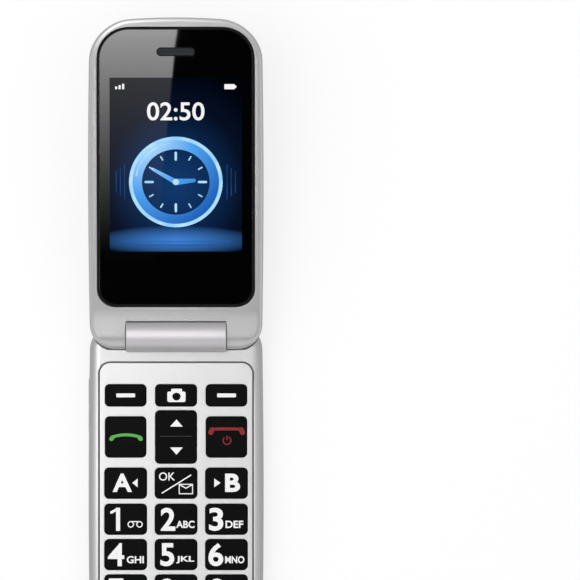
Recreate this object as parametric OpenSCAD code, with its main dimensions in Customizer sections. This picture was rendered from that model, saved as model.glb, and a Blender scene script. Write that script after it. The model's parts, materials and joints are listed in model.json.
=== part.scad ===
// Folding phone with large keys: a display lid and a keypad base on a barrel hinge.
// Millimetres. The base lies on its back, +Z is the keypad side and +Y runs to the hinge.
// Shapes of either half are drawn in (x, u, z), where u is the distance from the hinge
// axis towards the tip of that half. In the base z counts from the back face, and in the
// lid it counts from the hinge axis, positive on the display side.

/* [Body] */
// Width of both halves
body_w = 50; // [45:0.5:56]
// Length of the closed phone
phone_len = 98; // [97.5:0.5:106]
// Wall of the housings
wall = 1.2; // [1:0.05:1.4]
// Corner radius at the tip of each half
tip_corner_r = 11.7; // [10:0.1:13]
// Corner radius at the hinge end
hinge_corner_r = 7.5; // [6:0.1:9]
// How much each side pulls in at its ends
side_bulge = 0.5; // [0:0.1:0.8]
// How much the tip edge falls back at the corners
tip_arch = 1.8; // [0.5:0.1:2.4]
// Edge radius of the base's back
back_r = 3; // [2:0.1:3.4]
// Edge radius of the base's keypad face
face_r = 0.8; // [0.4:0.1:1.2]
// Edge radius of the lid's outside
lid_edge_r = 2.8; // [1.5:0.1:3.2]

/* [Hinge] */
// Distance of the hinge axis from the hinge end of the lid
axis_to_end = 3.9; // [3.6:0.1:4.1]
// How far the base reaches past the hinge axis
base_past_axis = 3.6; // [3.3:0.1:3.7]
// Depth of the hinge axis below the lid's inside face
axis_in_lid = 1.3; // [1.2:0.1:1.6]
// Gap between the closed halves
closed_gap = 0.7; // [0.6:0.05:0.9]
// Radius of the barrel
barrel_r = 4.6; // [4.5:0.1:5]
// Length of the barrel
barrel_len = 28.6; // [28:0.2:30]
// Radius of the ears about the hinge axis
ear_r = 4.2; // [4.1:0.05:4.4]
// Height of the ears' crest over the lid's inside face
ear_crest = 0.6; // [0.3:0.1:0.7]
// Gap round the parts that turn
hinge_gap = 0.3; // [0.2:0.05:0.4]
// Bore of the barrel, as a radius
barrel_bore_r = 3.35; // [3.2:0.05:3.5]
// Radius of the pins in the ears
ear_pin_r = 1.15; // [0.9:0.05:1.2]
// Radial play of the turning pins and discs
pin_play = 0.05; // [0.03:0.01:0.08]
// Angle of the open lid above the plane of the base
open_tilt = 15; // [12:1:20]

/* [Display] */
// Black margin at each side of the lit window
window_margin = 3.65; // [3.4:0.05:6]
// Height of the lit window
window_h = 51.2; // [44:0.2:59]
// Black margin between the lit window and the earpiece slot
window_head = 6.45; // [5:0.05:9]
// Silver rim at each side of the glass
rim_w = 2.5; // [2.2:0.1:3]
// Start of the glass, from the hinge axis
glass_u0 = 8.8; // [8.4:0.1:10]
// Silver rim at the tip of the glass
rim_tip = 2.75; // [2.5:0.05:3.4]
// Corner radius of the glass at the hinge side
glass_r0 = 5.4; // [4.5:0.1:6]
// Corner radius of the glass at the tip
glass_r1 = 9.25; // [8.5:0.05:10]
// Thickness of the glass
glass_t = 0.8; // [0.6:0.05:1]
// Depth of the glass below the rim
glass_recess = 0.3; // [0.2:0.05:0.5]
// Thickness of the display module
lcd_t = 2.25; // [2:0.05:2.6]
// Length of the earpiece slot
ear_slot_l = 10.7; // [8:0.1:12]
// Width of the earpiece slot
ear_slot_w = 2.3; // [1.8:0.1:2.6]

/* [Lid outside] */
// Thickness of the camera module
camera_h = 1.9; // [1.7:0.05:2.4]
// Radius of the camera lens
lens_r = 4.03; // [3.4:0.01:4.4]
// Distance of the camera lens from the hinge axis
camera_u = 16.3; // [15.8:0.1:17]
// Length of a status light
light_l = 3.2; // [2.4:0.1:4]
// Width of a status light
light_w = 1.1; // [0.8:0.1:1.4]
// Distance of the first status light from the hinge axis
light_u = 22.8; // [22.2:0.1:23.4]
// Spacing of the status lights
light_pitch = 2.2; // [1.8:0.1:2.6]
// Length of the accent strip
strip_l = 37.5; // [20:0.5:40]
// Width of the accent strip
strip_w = 1.8; // [1.2:0.1:2.4]
// Distance of the accent strip from the hinge axis
strip_u = 32.5; // [30:0.5:40]

/* [Keys] */
// Gap between the key columns
col_gap = 2.5; // [1.8:0.1:3.5]
// Gap between the outer keys and the panel's edge
side_gap = 1.8; // [1.7:0.05:3]
// Spacing of the digit rows
key_pitch = 10.1; // [9.8:0.1:10.2]
// Length of a digit key
key_l = 8.6; // [8:0.1:8.8]
// Corner radius of the keys
key_r = 1.2; // [0.6:0.1:1.8]
// Travel of a key
key_travel = 0.4; // [0.3:0.05:0.6]
// How far the keys stand over the panel
key_proud = 0.4; // [0.2:0.05:0.45]
// Gap between a key and its hole
key_gap = 0.15; // [0.1:0.01:0.2]
// Distance of the soft key row from the hinge axis
soft_u = 17; // [16.6:0.1:17.2]
// Length of the soft keys
soft_l = 6.1; // [5.4:0.1:6.4]
// Distance of the call key row from the hinge axis
call_u = 28.9; // [28.8:0.1:29.2]
// Length of the call and end keys
call_l = 11.5; // [10:0.1:12]
// Length of the navigation key
nav_l = 15; // [13:0.1:15.2]
// Distance of the A, OK and B row from the hinge axis
ab_u = 42.1; // [42:0.1:42.3]
// Distance of the first digit row from the hinge axis
digit_u = 52.4; // [52.2:0.1:52.6]

/* [Keypad] */
// Silver margin at each side of the panel
panel_margin = 2.85; // [2.6:0.05:3.1]
// Start of the panel, from the hinge axis
panel_u0 = 7.4; // [7:0.1:8]
// Distance of the panel from the tip
panel_tip = 3; // [2.6:0.1:3.4]
// Corner radius of the panel at the hinge side
panel_r0 = 3.4; // [2.4:0.1:4.4]
// Corner radius of the panel at the tip
panel_r1 = 9; // [8:0.1:10]
// Thickness of the panel
panel_t = 1; // [0.8:0.05:1.3]
// Thickness of the keypad mat
mat_t = 0.2; // [0.15:0.05:0.4]
// Height of a snap dome
dome_h = 0.15; // [0.1:0.05:0.3]

/* [Power and boards] */
// Width of the battery
battery_w = 34; // [30:0.5:34.5]
// Length of the battery
battery_l = 49.6; // [44:0.2:55.6]
// Thickness of the battery
battery_t = 5; // [4.5:0.1:6]
// Distance of the battery from the tip
battery_tip = 11.2; // [11:0.1:11.6]
// Width of the battery cover
cover_w = 39; // [38.6:0.1:40]
// Thickness of the battery cover
cover_t = 1.2; // [1:0.05:1.5]
// Start of the battery cover, from the hinge axis
cover_u0 = 14.1; // [13.8:0.1:14.6]
// Thickness of the main board
board_t = 0.8; // [0.6:0.05:1]
// Thickness of the lid's board
lid_board_t = 0.7; // [0.5:0.05:0.8]
// Length of the volume rocker
volume_l = 16; // [12:0.5:18]
// Distance of the volume rocker from the hinge axis
volume_u = 20; // [18:0.5:24]

/* [Hidden] */
$fn = 48;
eps = 0.01;
slip = 0.05;               // play between pieces that are fixed to each other
loose = 0.15;              // play round pieces that are dropped in

// heights in the base, from the back up
floor_z = cover_t + 1.3;
battery_z = cover_t + 0.2;
roof_t = 0.6;
roof_z = battery_z + battery_t + 0.1;
board_z = roof_z + roof_t + 0.1;
sheet_z = board_z + board_t;
sheet_t = 0.15;
mat_z = sheet_z + sheet_t + dome_h;
flange_t = 0.4;
key_z = mat_z + mat_t + key_travel + slip;
panel_z = key_z + flange_t + loose;
base_t = panel_z + panel_t;
key_top = base_t + key_proud;
ledge_t = 0.8;
split_z = 4.4;

// the hinge
axis_z = base_t + closed_gap + axis_in_lid;
axis_y = phone_len / 2 - axis_to_end;
tip_u = phone_len - axis_to_end;
barrel_x = barrel_len / 2;
ear_x = barrel_x + hinge_gap;
notch_u = barrel_r + hinge_gap;
trough_r = ear_r + hinge_gap;
hollow_u = notch_u + 1.3;   // where the base is hollow right up to the keypad
trough_floor = axis_z - trough_r - 1.4;  // the base's ceiling below the ears
ear_pin_l = 5.3;
cartridge_r = barrel_bore_r - slip;
cartridge_wall = 0.6;
cam_r = cartridge_r - cartridge_wall - pin_play;
cam_x = 0.9 - barrel_x;
peg_r = 1.2;
peg_x = barrel_x - 2.8;
flex_x = [3, 9];           // slot of the flexible circuit in the barrel
flex_t = 0.3;
flex_roll_r = barrel_bore_r - 0.55;

// heights in the lid, from the hinge axis
inner_z = axis_in_lid;
glass_top = inner_z - glass_recess;
glass_z = glass_top - glass_t;
lcd_top = glass_z - loose;
lcd_z = lcd_top - lcd_t;
lid_board_top = lcd_z - 0.5;
lid_board_z = lid_board_top - lid_board_t;
cover_in_z = lid_board_z - camera_h;
outer_z = cover_in_z - wall;
lid_split_z = lid_board_top + 0.1;
lid_hollow_u = camera_u - 4.3;  // where the lid is hollow behind the board
glass_w = body_w - 2 * rim_w;
glass_u1 = tip_u - rim_tip;
ledge_w = 1.5;
ear_slot_u = glass_u1 - 7.35;
window_w = glass_w - 2 * window_margin;
window_u = ear_slot_u - ear_slot_w / 2 - window_head - window_h / 2;
lcd_border = [1.5, 2.4];
lens_proud = 0.2;
receiver = [12.4, 6.2, 2.4];
lid_board_side = 5;
lid_board_tip = 7.2;
magnet = [4, 2, 1.2];
lid_screws_at = [[glass_w / 2 - 3, glass_u0 + 3.1], [glass_w / 2 - 4.6, glass_u1 - 4.5]];

// the keypad
panel_w = body_w - 2 * panel_margin;
panel_u1 = tip_u - panel_tip;
panel_seat = 1.3;
key_w = (panel_w - 2 * side_gap - 2 * col_gap) / 3;
key_col = key_w + col_gap;
last_row_u = digit_u + 3 * key_pitch;
flange = 0.3;
nav_flange_l = 5.6;
nav_pivot_r = 0.3;
dome_r = 2;
sheet_side = 1.5;
digits = [["key_1", "key_2", "key_3"], ["key_4", "key_5", "key_6"],
          ["key_7", "key_8", "key_9"], ["key_star", "key_0", "key_hash"]];
// each key: name, column, distance from the axis, width, length
KEYS = concat(
    [["key_soft_left", -1, soft_u, key_w - 0.3, soft_l],
     ["key_camera", 0, soft_u, key_w - 0.2, soft_l],
     ["key_soft_right", 1, soft_u, key_w - 0.3, soft_l],
     ["key_call", -1, call_u, key_w - 0.35, call_l],
     ["key_navigate", 0, call_u, key_w - 0.2, nav_l],
     ["key_end", 1, call_u, key_w - 0.35, call_l],
     ["key_a", -1, ab_u, key_w, key_l],
     ["key_ok", 0, ab_u, key_w, key_l],
     ["key_b", 1, ab_u, key_w, key_l]],
    [for (row = [0 : 3]) for (col = [0 : 2])
        [digits[row][col], col - 1, digit_u + row * key_pitch, key_w, key_l]]);

// the battery bay
battery_u1 = tip_u - battery_tip;
battery_u0 = battery_u1 - battery_l;
bay_wall = 0.8;
cover_lip = 0.8;
lip_z = 0.65;
cover_gap = 0.1;

// screws: x, u, depth of the head, top of the shank
screw_head = [1.4, 1];
screw_r = 0.7;
boss_r = 2;
base_screws_at = [[body_w / 2 - 5.5, 2.6, 0.3, trough_floor + 0.3],
                  [body_w / 2 - 7.5, tip_u - 7.8, cover_t + 0.15, board_z + 0.7]];

// between the hinge and the battery
speaker = [16, 6.4, 3];
speaker_x = body_w / 2 - 5 - speaker[0] / 2;
speaker_u = hollow_u + 0.9 + speaker[1] / 2;
card_u0 = speaker_u + speaker[1] / 2 + 2.1;
card_u1 = battery_u0 - 2.7;
card = [15, card_u1 - card_u0, 1.4];
card_x = card[0] / 2 + 6 - body_w / 2;
card_u = (card_u0 + card_u1) / 2;
can_h = 2;
can_end_x = body_w / 2 - 6.5;

// between the battery and the tip
usb = [7.6, 5.5, 2.65];
weight_l = 2.8;
weight_x = [-usb[0] / 2 - 0.8 - weight_l, -usb[0] / 2 - 0.8];
motor_r = 2;
motor_x = [boss_r + 0.7 - base_screws_at[1][0], weight_x[0] - 0.4];
motor_u = tip_u - 5.6;
motor_z = floor_z + motor_r + 0.2;
motor_shaft_r = 0.4;
contact_x = 9.5;
contact = [3, 2, 1.6];
contact_z = 5.1;

// the volume rocker
volume = [2, 2.6];
volume_z = 7;
volume_pivot_x = -(body_w / 2 - wall - 0.75);
volume_pin_r = 0.5;
volume_pin_z = panel_z - 0.4;

// ---- outlines ----

// Corner arc of radius r about (x, u), from angle a to a + 90.
function corner(x, u, r, a, steps = 5) =
    [for (i = [0 : steps]) [x + r * cos(a + 90 * i / steps), u + r * sin(a + 90 * i / steps)]];

// Plate of width w from u0 to u1, with corner radii r0 and r1.
function plate(w, u0, u1, r0, r1) = concat(
    corner(w / 2 - r0, u0 + r0, r0, -90), corner(w / 2 - r1, u1 - r1, r1, 0),
    corner(r1 - w / 2, u1 - r1, r1, 90), corner(r0 - w / 2, u0 + r0, r0, 180));

// Points between two ends, without the ends.
function between(a, b, steps = 6) = [for (i = [1 : steps - 1]) a + (b - a) * i / steps];

// Outline of a half that starts at u0, set in by inset, before it is bowed.
function straight_half(inset, u0) =
    let (w = body_w / 2 - inset, r0 = hinge_corner_r - inset, r1 = tip_corner_r - inset,
         a = u0 + inset + r0, b = tip_u - inset - r1)
    concat(corner(w - r0, a, r0, -90), between([w, a], [w, b]),
           corner(w - r1, b, r1, 0), between([w - r1, b + r1], [r1 - w, b + r1]),
           corner(r1 - w, b, r1, 90), between([-w, b], [-w, a]),
           corner(r0 - w, a, r0, 180));

// The sides bow outwards and the tip edge is arched.
function bow(p) =
    let (mid = (tip_u - axis_to_end) / 2, along = (p[1] - mid) / (phone_len / 2),
         across = 2 * p[0] / body_w)
    [p[0] * (1 - 2 * side_bulge / body_w * along * along),
     p[1] - tip_arch * across * across * max(0, along)];

function half_outline(inset, u0) = [for (p = straight_half(inset, u0)) bow(p)];

// ---- building blocks ----

// Solid through half outlines; each level is [inset, z], from the lowest up.
module loft(levels, u0) {
    rings = [for (level = levels) [for (p = half_outline(level[0], u0)) [p[0], p[1], level[1]]]];
    n = len(rings[0]);
    top = len(levels) - 1;
    polyhedron(
        points = [for (ring = rings) for (p = ring) p],
        faces = concat(
            [[for (i = [0 : n - 1]) i]],
            [[for (i = [n - 1 : -1 : 0]) top * n + i]],
            [for (k = [0 : top - 1]) for (i = [0 : n - 1]) let (j = (i + 1) % n)
                [k * n + i, (k + 1) * n + i, (k + 1) * n + j, k * n + j]]));
}

// Levels of a rounded lower edge of radius r at height z.
function lower_edge(r, z) = [for (a = [0 : 22.5 : 90]) [r * (1 - sin(a)), z + r * (1 - cos(a))]];

// Levels of a rounded upper edge of radius r at height z.
function upper_edge(r, z) = [for (a = [0 : 30 : 90]) [r * (1 - cos(a)), z - r * (1 - sin(a))]];

module flat(points, z0, z1) {
    translate([0, 0, z0]) linear_extrude(z1 - z0) polygon(points);
}

module block(x0, x1, u0, u1, z0, z1) {
    translate([x0, u0, z0]) cube([x1 - x0, u1 - u0, z1 - z0]);
}

// Block centred at (x, u), size [x, u, z], with its foot at z.
module centred(x, u, z, size) {
    translate([x - size[0] / 2, u - size[1] / 2, z]) cube(size);
}

// Round bar along the hinge axis' direction.
module bar(r, x0, x1) {
    translate([x0, 0, 0]) rotate([0, 90, 0]) cylinder(r = r, h = x1 - x0);
}

module post(r, x, u, z0, z1) {
    translate([x, u, z0]) cylinder(r = r, h = z1 - z0);
}

module both_sides() {
    children();
    mirror([1, 0, 0]) children();
}

// From (x, u, z) of the base to the phone.
module in_base() {
    translate([0, axis_y, 0]) mirror([0, 1, 0]) children();
}

// From (x, u, z) of the lid to the phone, with the lid open.
module in_lid() {
    translate([0, axis_y, axis_z]) rotate([open_tilt, 0, 0]) children();
}

// Screw with its head down at z0 and its shank up to z1.
module screw(x, u, z0, z1) {
    post(screw_head[0], x, u, z0, z0 + screw_head[1]);
    post(screw_r, x, u, z0 + screw_head[1] - eps, z1);
}

// ---- lid ----

// Side view of the lid: ears round the axis, flat outside, chin that rises to the ears.
module lid_side() {
    crest_u = 1;
    crest_z = inner_z + ear_crest;
    blend = 14;
    deep = -outer_z - ear_r;
    ease = function (t) t * t * (3 - 2 * t);
    points = concat(
        [for (a = [180 : 18 : 270]) ear_r * [cos(a), sin(a)]],
        [for (t = [0.2 : 0.2 : 1]) [blend * t, -ear_r - deep * ease(t)]],
        [[tip_u + 1, outer_z], [tip_u + 1, inner_z], [glass_u0 - 0.2, inner_z]],
        [for (t = [0.75 : -0.25 : 0.25])
            [crest_u + (glass_u0 - crest_u) * t, crest_z - ear_crest * t * t]],
        [for (a = [90 : 16 : 154])
            [crest_u + (crest_u + ear_r - 0.1) * cos(a), crest_z - 1.4 * (1 - sin(a))]]);
    rotate([90, 0, 90]) translate([0, 0, -body_w]) linear_extrude(2 * body_w) polygon(points);
}

module lid_notch() {
    block(-ear_x, ear_x, -2 * ear_r, notch_u, outer_z - 1, inner_z + 2);
}

module lid_outer_cover() {
    color("#525350") in_lid() difference() {
        union() {
            difference() {
                intersection() {
                    loft(concat(lower_edge(lid_edge_r, outer_z), [[0, lid_split_z]]), -axis_to_end);
                    lid_side();
                }
                lid_notch();
                intersection() {
                    loft([[wall + 0.2, cover_in_z], [wall, lid_split_z + 1]], -axis_to_end);
                    block(-body_w, body_w, lid_hollow_u, 2 * tip_u, outer_z, inner_z);
                }
            }
            for (at = lid_screws_at) both_sides()
                post(boss_r, at[0], at[1], cover_in_z - eps, lid_split_z);
        }
        for (at = lid_screws_at) both_sides()
            post(screw_r + slip, at[0], at[1], lid_split_z - 2.2, lid_split_z + 1);
        post(lens_r + slip, 0, camera_u, outer_z - 1, lid_split_z);
        for (i = [0, 1])
            flat_slot(light_l, light_w, light_u + i * light_pitch, outer_z - 1, lid_split_z, slip);
        flat_slot(strip_l, strip_w, strip_u, outer_z - 1, outer_z + 0.45, slip);
    }
}

// Round-ended bar across the lid, grown by play.
module flat_slot(length, width, u, z0, z1, play = 0) {
    translate([0, u, 0])
        flat(plate(length + 2 * play, -width / 2 - play, width / 2 + play,
                   width / 2 - 0.1, width / 2 - 0.1), z0, z1);
}

module lid_inner_frame() {
    opening = plate(glass_w - 2 * ledge_w, glass_u0 + ledge_w, glass_u1 - ledge_w,
                    glass_r0 + 1.6, glass_r1 + 1);
    color("#c4c5c7") in_lid() difference() {
        union() {
            difference() {
                intersection() {
                    loft([[0, lid_split_z], [0, inner_z - 0.8], [0.25, inner_z - 0.2],
                          [0.8, inner_z + 0.32], [1.6, inner_z + ear_crest + 0.1]], -axis_to_end);
                    lid_side();
                }
                lid_notch();
                flat(opening, lid_split_z - 1, inner_z);
            }
            for (at = lid_screws_at) both_sides()
                post(boss_r, at[0], at[1], lid_split_z, glass_z - eps);
        }
        flat(plate(glass_w + 2 * slip, glass_u0 - slip, glass_u1 + slip, glass_r0, glass_r1),
             glass_z - slip, inner_z + 2);
        for (at = lid_screws_at) both_sides() {
            post(screw_head[0] + slip, at[0], at[1], glass_z - 1.2, inner_z);
            post(screw_r + slip, at[0], at[1], lid_split_z - 1, inner_z);
        }
        both_sides() bar(ear_pin_r + slip, ear_x - 1, ear_x + ear_pin_l);
    }
}

module display_glass() {
    color("#0a0b0d") in_lid() difference() {
        flat(plate(glass_w - 2 * slip, glass_u0 + slip, glass_u1 - slip, glass_r0, glass_r1),
             glass_z, glass_top);
        flat_slot(ear_slot_l, ear_slot_w, ear_slot_u, glass_z - 1, glass_top + 1);
    }
}

module display_module() {
    color("#10223f") in_lid()
        centred(0, window_u, lcd_z,
                [window_w + 2 * lcd_border[0], window_h + 2 * lcd_border[1], lcd_t]);
}

module earpiece_grille() {
    color("#3c3f44") in_lid() difference() {
        flat_slot(ear_slot_l, ear_slot_w, ear_slot_u, glass_z, glass_top - 0.2, -0.1);
        for (i = [-3 : 3])
            centred(i * 1.3, ear_slot_u, glass_z - 1, [0.6, 1, 3]);
    }
}

module earpiece_receiver() {
    color("#2b2b2b") in_lid()
        centred(0, ear_slot_u, glass_z - slip - receiver[2], receiver);
}

module lid_board() {
    color("#2d6b45") in_lid()
        block(lid_board_side - glass_w / 2, glass_w / 2 - lid_board_side, lid_hollow_u + 0.4,
              glass_u1 - lid_board_tip, lid_board_z, lid_board_top);
}

module camera_module() {
    color("#1c1c1e") in_lid()
        centred(0, camera_u, cover_in_z + slip, [7.2, 7.2, camera_h - 2 * slip]);
}

module camera_lens() {
    color("#0c0c0e") in_lid() post(lens_r, 0, camera_u, outer_z - lens_proud, cover_in_z);
}

module status_lights() {
    color("#e6e2b0") in_lid()
        for (i = [0, 1])
            flat_slot(light_l, light_w, light_u + i * light_pitch, outer_z - slip,
                      lid_board_z - slip);
}

module accent_strip() {
    color("#c9cacb") in_lid()
        flat_slot(strip_l, strip_w, strip_u, outer_z - 0.1, outer_z + 0.4);
}

module lid_screws() {
    color("#8d8f92") in_lid()
        for (at = lid_screws_at) both_sides()
            translate([0, 0, glass_z - 0.1]) mirror([0, 0, 1])
                screw(at[0], at[1], 0, glass_z - 0.1 - lid_split_z + 2);
}

module flip_magnet() {
    color("#7c7e82") in_lid()
        centred(lid_board_side + 5.5 - glass_w / 2, glass_u1 - lid_board_tip - 1.8,
                lid_board_top + slip, magnet);
}

// ---- hinge ----

module hinge_barrel() {
    color("#d2d2d4") in_base() difference() {
        union() {
            translate([0, 0, axis_z]) bar(barrel_r, -barrel_x, barrel_x);
            both_sides() post(peg_r, peg_x, 0, axis_z - barrel_r - 1.2, axis_z - barrel_r + 0.6);
        }
        translate([0, 0, axis_z]) bar(barrel_bore_r, -barrel_x - 1, barrel_x + 1);
        block(flex_x[0], flex_x[1], -0.5, 0.5, axis_z - barrel_r - 1, axis_z - barrel_bore_r + 1);
    }
}

module hinge_cartridge() {
    color("#9a9ca0") in_base() translate([0, 0, axis_z]) difference() {
        bar(cartridge_r, -barrel_x + 0.2, -1.2);
        bar(cartridge_r - cartridge_wall, -barrel_x + 0.8, -2.2);
        bar(ear_pin_r + pin_play, -barrel_x - 1, -barrel_x + 2);
    }
}

module hinge_cam() {
    color("#b3b5b8") in_lid() difference() {
        union() {
            bar(cam_r, cam_x, cam_x + 1.5);
            bar(ear_pin_r, -ear_x - ear_pin_l + 0.3, cam_x + eps);
        }
        translate([cam_x + 1.5, 0, 0]) rotate([0, 45, 0]) cube([0.5, 8, 0.5], center = true);
    }
}

module hinge_follower() {
    face_x = cam_x + 1.8;
    color("#a8aaad") in_base() translate([0, 0, axis_z]) {
        difference() {
            bar(cam_r, face_x - 0.2, face_x + 1.4);
            block(face_x - 1, face_x, 0.4, 5, -5, 5);
            block(face_x - 1, face_x, -5, -0.4, -5, 5);
        }
        bar(0.9, face_x + 1.4 - eps, face_x + 5);
    }
}

// Coil spring along the hinge axis, swept by a loop.
module hinge_spring() {
    turns = 5;
    wire_r = 0.32;
    coil_r = cam_r - 0.7;
    x0 = cam_x + 3.6;
    x1 = -2.6;
    steps = 14 * turns;
    sides = 6;
    points = [for (i = [0 : steps]) for (k = [0 : sides - 1])
        let (a = 360 * turns * i / steps, b = 360 * k / sides, r = coil_r + wire_r * cos(b))
        [x0 + (x1 - x0) * i / steps + wire_r * sin(b), r * cos(a), r * sin(a)]];
    color("#c6c8ca") in_base() translate([0, 0, axis_z]) polyhedron(
        points = points,
        faces = concat(
            [[for (k = [0 : sides - 1]) k]],
            [[for (k = [sides - 1 : -1 : 0]) steps * sides + k]],
            [for (i = [0 : steps - 1]) for (k = [0 : sides - 1]) let (j = (k + 1) % sides)
                [i * sides + k, (i + 1) * sides + k, (i + 1) * sides + j, i * sides + j]]));
}

module pivot_bush() {
    color("#b3b5b8") in_lid() difference() {
        union() {
            bar(barrel_bore_r - pin_play, barrel_x - 3.3, barrel_x - 0.1);
            bar(ear_pin_r, barrel_x - 0.1 - eps, ear_x + ear_pin_l - 0.3);
        }
        bar(0.6, 0, 2 * ear_x);
    }
}

// Rolled flexible circuit in the barrel, with its tail down to the board.
module hinge_flex() {
    tail = [flex_x[0] + flex_t, flex_x[1] - flex_t];
    tail_z = board_z - 1;
    plug_u = hollow_u + 1.3;
    plug_l = 2;
    color("#c98a2b") in_base() {
        translate([0, 0, axis_z]) difference() {
            bar(flex_roll_r, flex_x[0] - 0.5, flex_x[1] + 0.5);
            bar(flex_roll_r - 0.5, 0, barrel_x);
        }
        block(tail[0], tail[1], -flex_t / 2, flex_t / 2, tail_z, axis_z - flex_roll_r + 0.3);
        block(tail[0], tail[1], 0, plug_u + plug_l, tail_z, tail_z + 0.2);
        block(tail[0], tail[1], plug_u, plug_u + plug_l, tail_z, board_z);
    }
}

// ---- base ----

module base_front_frame() {
    opening = plate(panel_w - 2 * panel_seat, panel_u0 + panel_seat + 0.3, panel_u1 - panel_seat,
                    panel_r0 - 1, panel_r1 - 1);
    color("#cfd0d2") in_base() difference() {
        union() {
            difference() {
                loft(concat([[0, split_z]], upper_edge(face_r, base_t)), -base_past_axis);
                flat(half_outline(wall, -base_past_axis), split_z - 1, trough_floor);
                intersection() {
                    flat(half_outline(wall, -base_past_axis), split_z - 1, panel_z - ledge_t);
                    block(-body_w, body_w, hollow_u, 2 * tip_u, 0, base_t);
                }
            }
            both_sides() {
                post(boss_r, base_screws_at[0][0], base_screws_at[0][1], split_z, trough_floor + eps);
                post(boss_r, base_screws_at[1][0], base_screws_at[1][1], split_z,
                     panel_z - ledge_t + eps);
            }
        }
        flat(plate(panel_w + 2 * slip, panel_u0 - slip, panel_u1 + slip, panel_r0, panel_r1),
             panel_z - slip, base_t + 1);
        flat(opening, trough_floor, base_t);
        for (key = KEYS) if (key[2] == last_row_u)
            key_outline(key, flange + key_gap, trough_floor, panel_z);
        translate([0, 0, axis_z]) {
            bar(trough_r, -body_w, body_w);
            bar(barrel_r + slip, -barrel_x, barrel_x);
        }
        both_sides() {
            block(barrel_x, body_w, -2 * trough_r, 0, axis_z - trough_r + 0.05, base_t + 1);
            post(peg_r + slip, peg_x, 0, trough_floor - 1, axis_z);
            for (at = base_screws_at) post(screw_r + slip, at[0], at[1], split_z - 1, at[3] + 0.2);
            centred(contact_x, tip_u - 1, contact_z - slip,
                    contact + [2 * slip, 4, 2 * slip]);
        }
        block(flex_x[0] - 0.2, flex_x[1] + 0.2, -0.5, 0.5, split_z, axis_z);
        centred(0, tip_u, split_z - 1, [usb[0] + 2 * slip, 8, board_z + 0.05 - split_z + 1]);
        block(-body_w, -body_w / 2 + wall + 1, volume_u - volume_l / 2 - 0.3,
              volume_u + volume_l / 2 + 0.3, volume_z - volume[1] / 2 - 0.2,
              volume_z + volume[1] / 2 + 0.2);
        post(volume_pin_r + pin_play, volume_pivot_x, volume_u, volume_z, volume_pin_z + slip);
    }
}

module keypad_panel() {
    color("#dedfe1") in_base() difference() {
        flat(plate(panel_w, panel_u0, panel_u1, panel_r0, panel_r1), panel_z, base_t);
        for (key = KEYS) key_outline(key, key_gap, panel_z - 1, base_t + 1);
    }
}

module key_outline(key, grow, z0, z1) {
    w = key[3] + 2 * grow;
    l = key[4] + 2 * grow;
    translate([key[1] * key_col, key[2], 0])
        flat(plate(w, -l / 2, l / 2, key_r + grow, key_r + grow), z0, z1);
}

module push_key(key) {
    color("#141416") in_base() {
        key_outline(key, 0, key_z, key_top - 0.2);
        key_outline(key, -0.25, key_top - 0.2 - eps, key_top);
        if (key[0] == "key_navigate") {
            centred(0, key[2], key_z, [key[3] + 2 * flange, nav_flange_l, flange_t]);
            translate([0, key[2], key_z + flange_t / 2])
                bar(nav_pivot_r, -key[3] / 2 - 2 * flange, key[3] / 2 + 2 * flange);
        } else
            key_outline(key, flange, key_z, key_z + flange_t);
    }
}

sheet_outline = plate(panel_w - 2 * sheet_side, panel_u0 + sheet_side + 0.5,
                      panel_u1 - sheet_side - 0.1, panel_r0 - 1, panel_r1 - 1);

module keypad_mat() {
    color("#b9bcc2") in_base()
        flat(sheet_outline, mat_z, mat_z + mat_t);
}

module dome_sheet() {
    color("#a9adb3") in_base() {
        flat(sheet_outline, sheet_z, sheet_z + sheet_t);
        for (key = KEYS)
            for (step = key[0] == "key_navigate" ? [-nav_l / 3, nav_l / 3] : [0])
                post(dome_r, key[1] * key_col, key[2] + step, sheet_z, mat_z);
    }
}

module main_board() {
    rocker_room = volume_l / 2 + 1.6;
    color("#2d6b45") in_base() difference() {
        intersection() {
            flat(half_outline(wall + 0.4, -base_past_axis), board_z, sheet_z);
            block(-body_w, body_w, hollow_u + 0.3, 2 * tip_u, 0, base_t);
        }
        both_sides() post(boss_r + 0.3, base_screws_at[1][0], base_screws_at[1][1], 0, base_t);
        block(-body_w, volume_pivot_x + 1.2, volume_u - rocker_room, volume_u + rocker_room,
              0, base_t);
    }
}

module shield_cans() {
    color("#b6b8bb") in_base() {
        block(card_x + card[0] / 2 + 2.5, can_end_x, card_u - card[1] / 2, card_u + card[1] / 2,
              board_z - can_h, board_z);
        block(card_x - card[0] / 2, speaker_x - speaker[0] / 2 - 5, speaker_u - speaker[1] / 2,
              speaker_u + speaker[1] / 2, board_z - can_h, board_z);
    }
}

module battery() {
    color("#33363a") in_base()
        flat(plate(battery_w, battery_u0, battery_u1, 1.5, 1.5), battery_z, battery_z + battery_t);
}

module battery_contacts() {
    color("#c9a24a") in_base() {
        centred(0, battery_u0 - 1.9, battery_z + 1.4, [8, 1.4, board_z - battery_z - 1.4]);
        for (i = [-1 : 1])
            centred(2.5 * i, battery_u0 - 0.65, battery_z + 2, [1, 1.2, 2]);
    }
}

// Outside of the base's back, which the housing and the battery cover share.
module back_form() {
    loft(concat(lower_edge(back_r, 0), [[0, split_z]]), -base_past_axis);
}

// Slot of the battery cover, grown by play.
module cover_space(play, z1) {
    block(-cover_w / 2 - play, cover_w / 2 + play, cover_u0 - play, 2 * tip_u, -1, z1);
    block(-cover_w / 2 - cover_lip - play, cover_w / 2 + cover_lip + play, cover_u0 - play,
          2 * tip_u, lip_z + 0.1 - play, z1);
}

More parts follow.
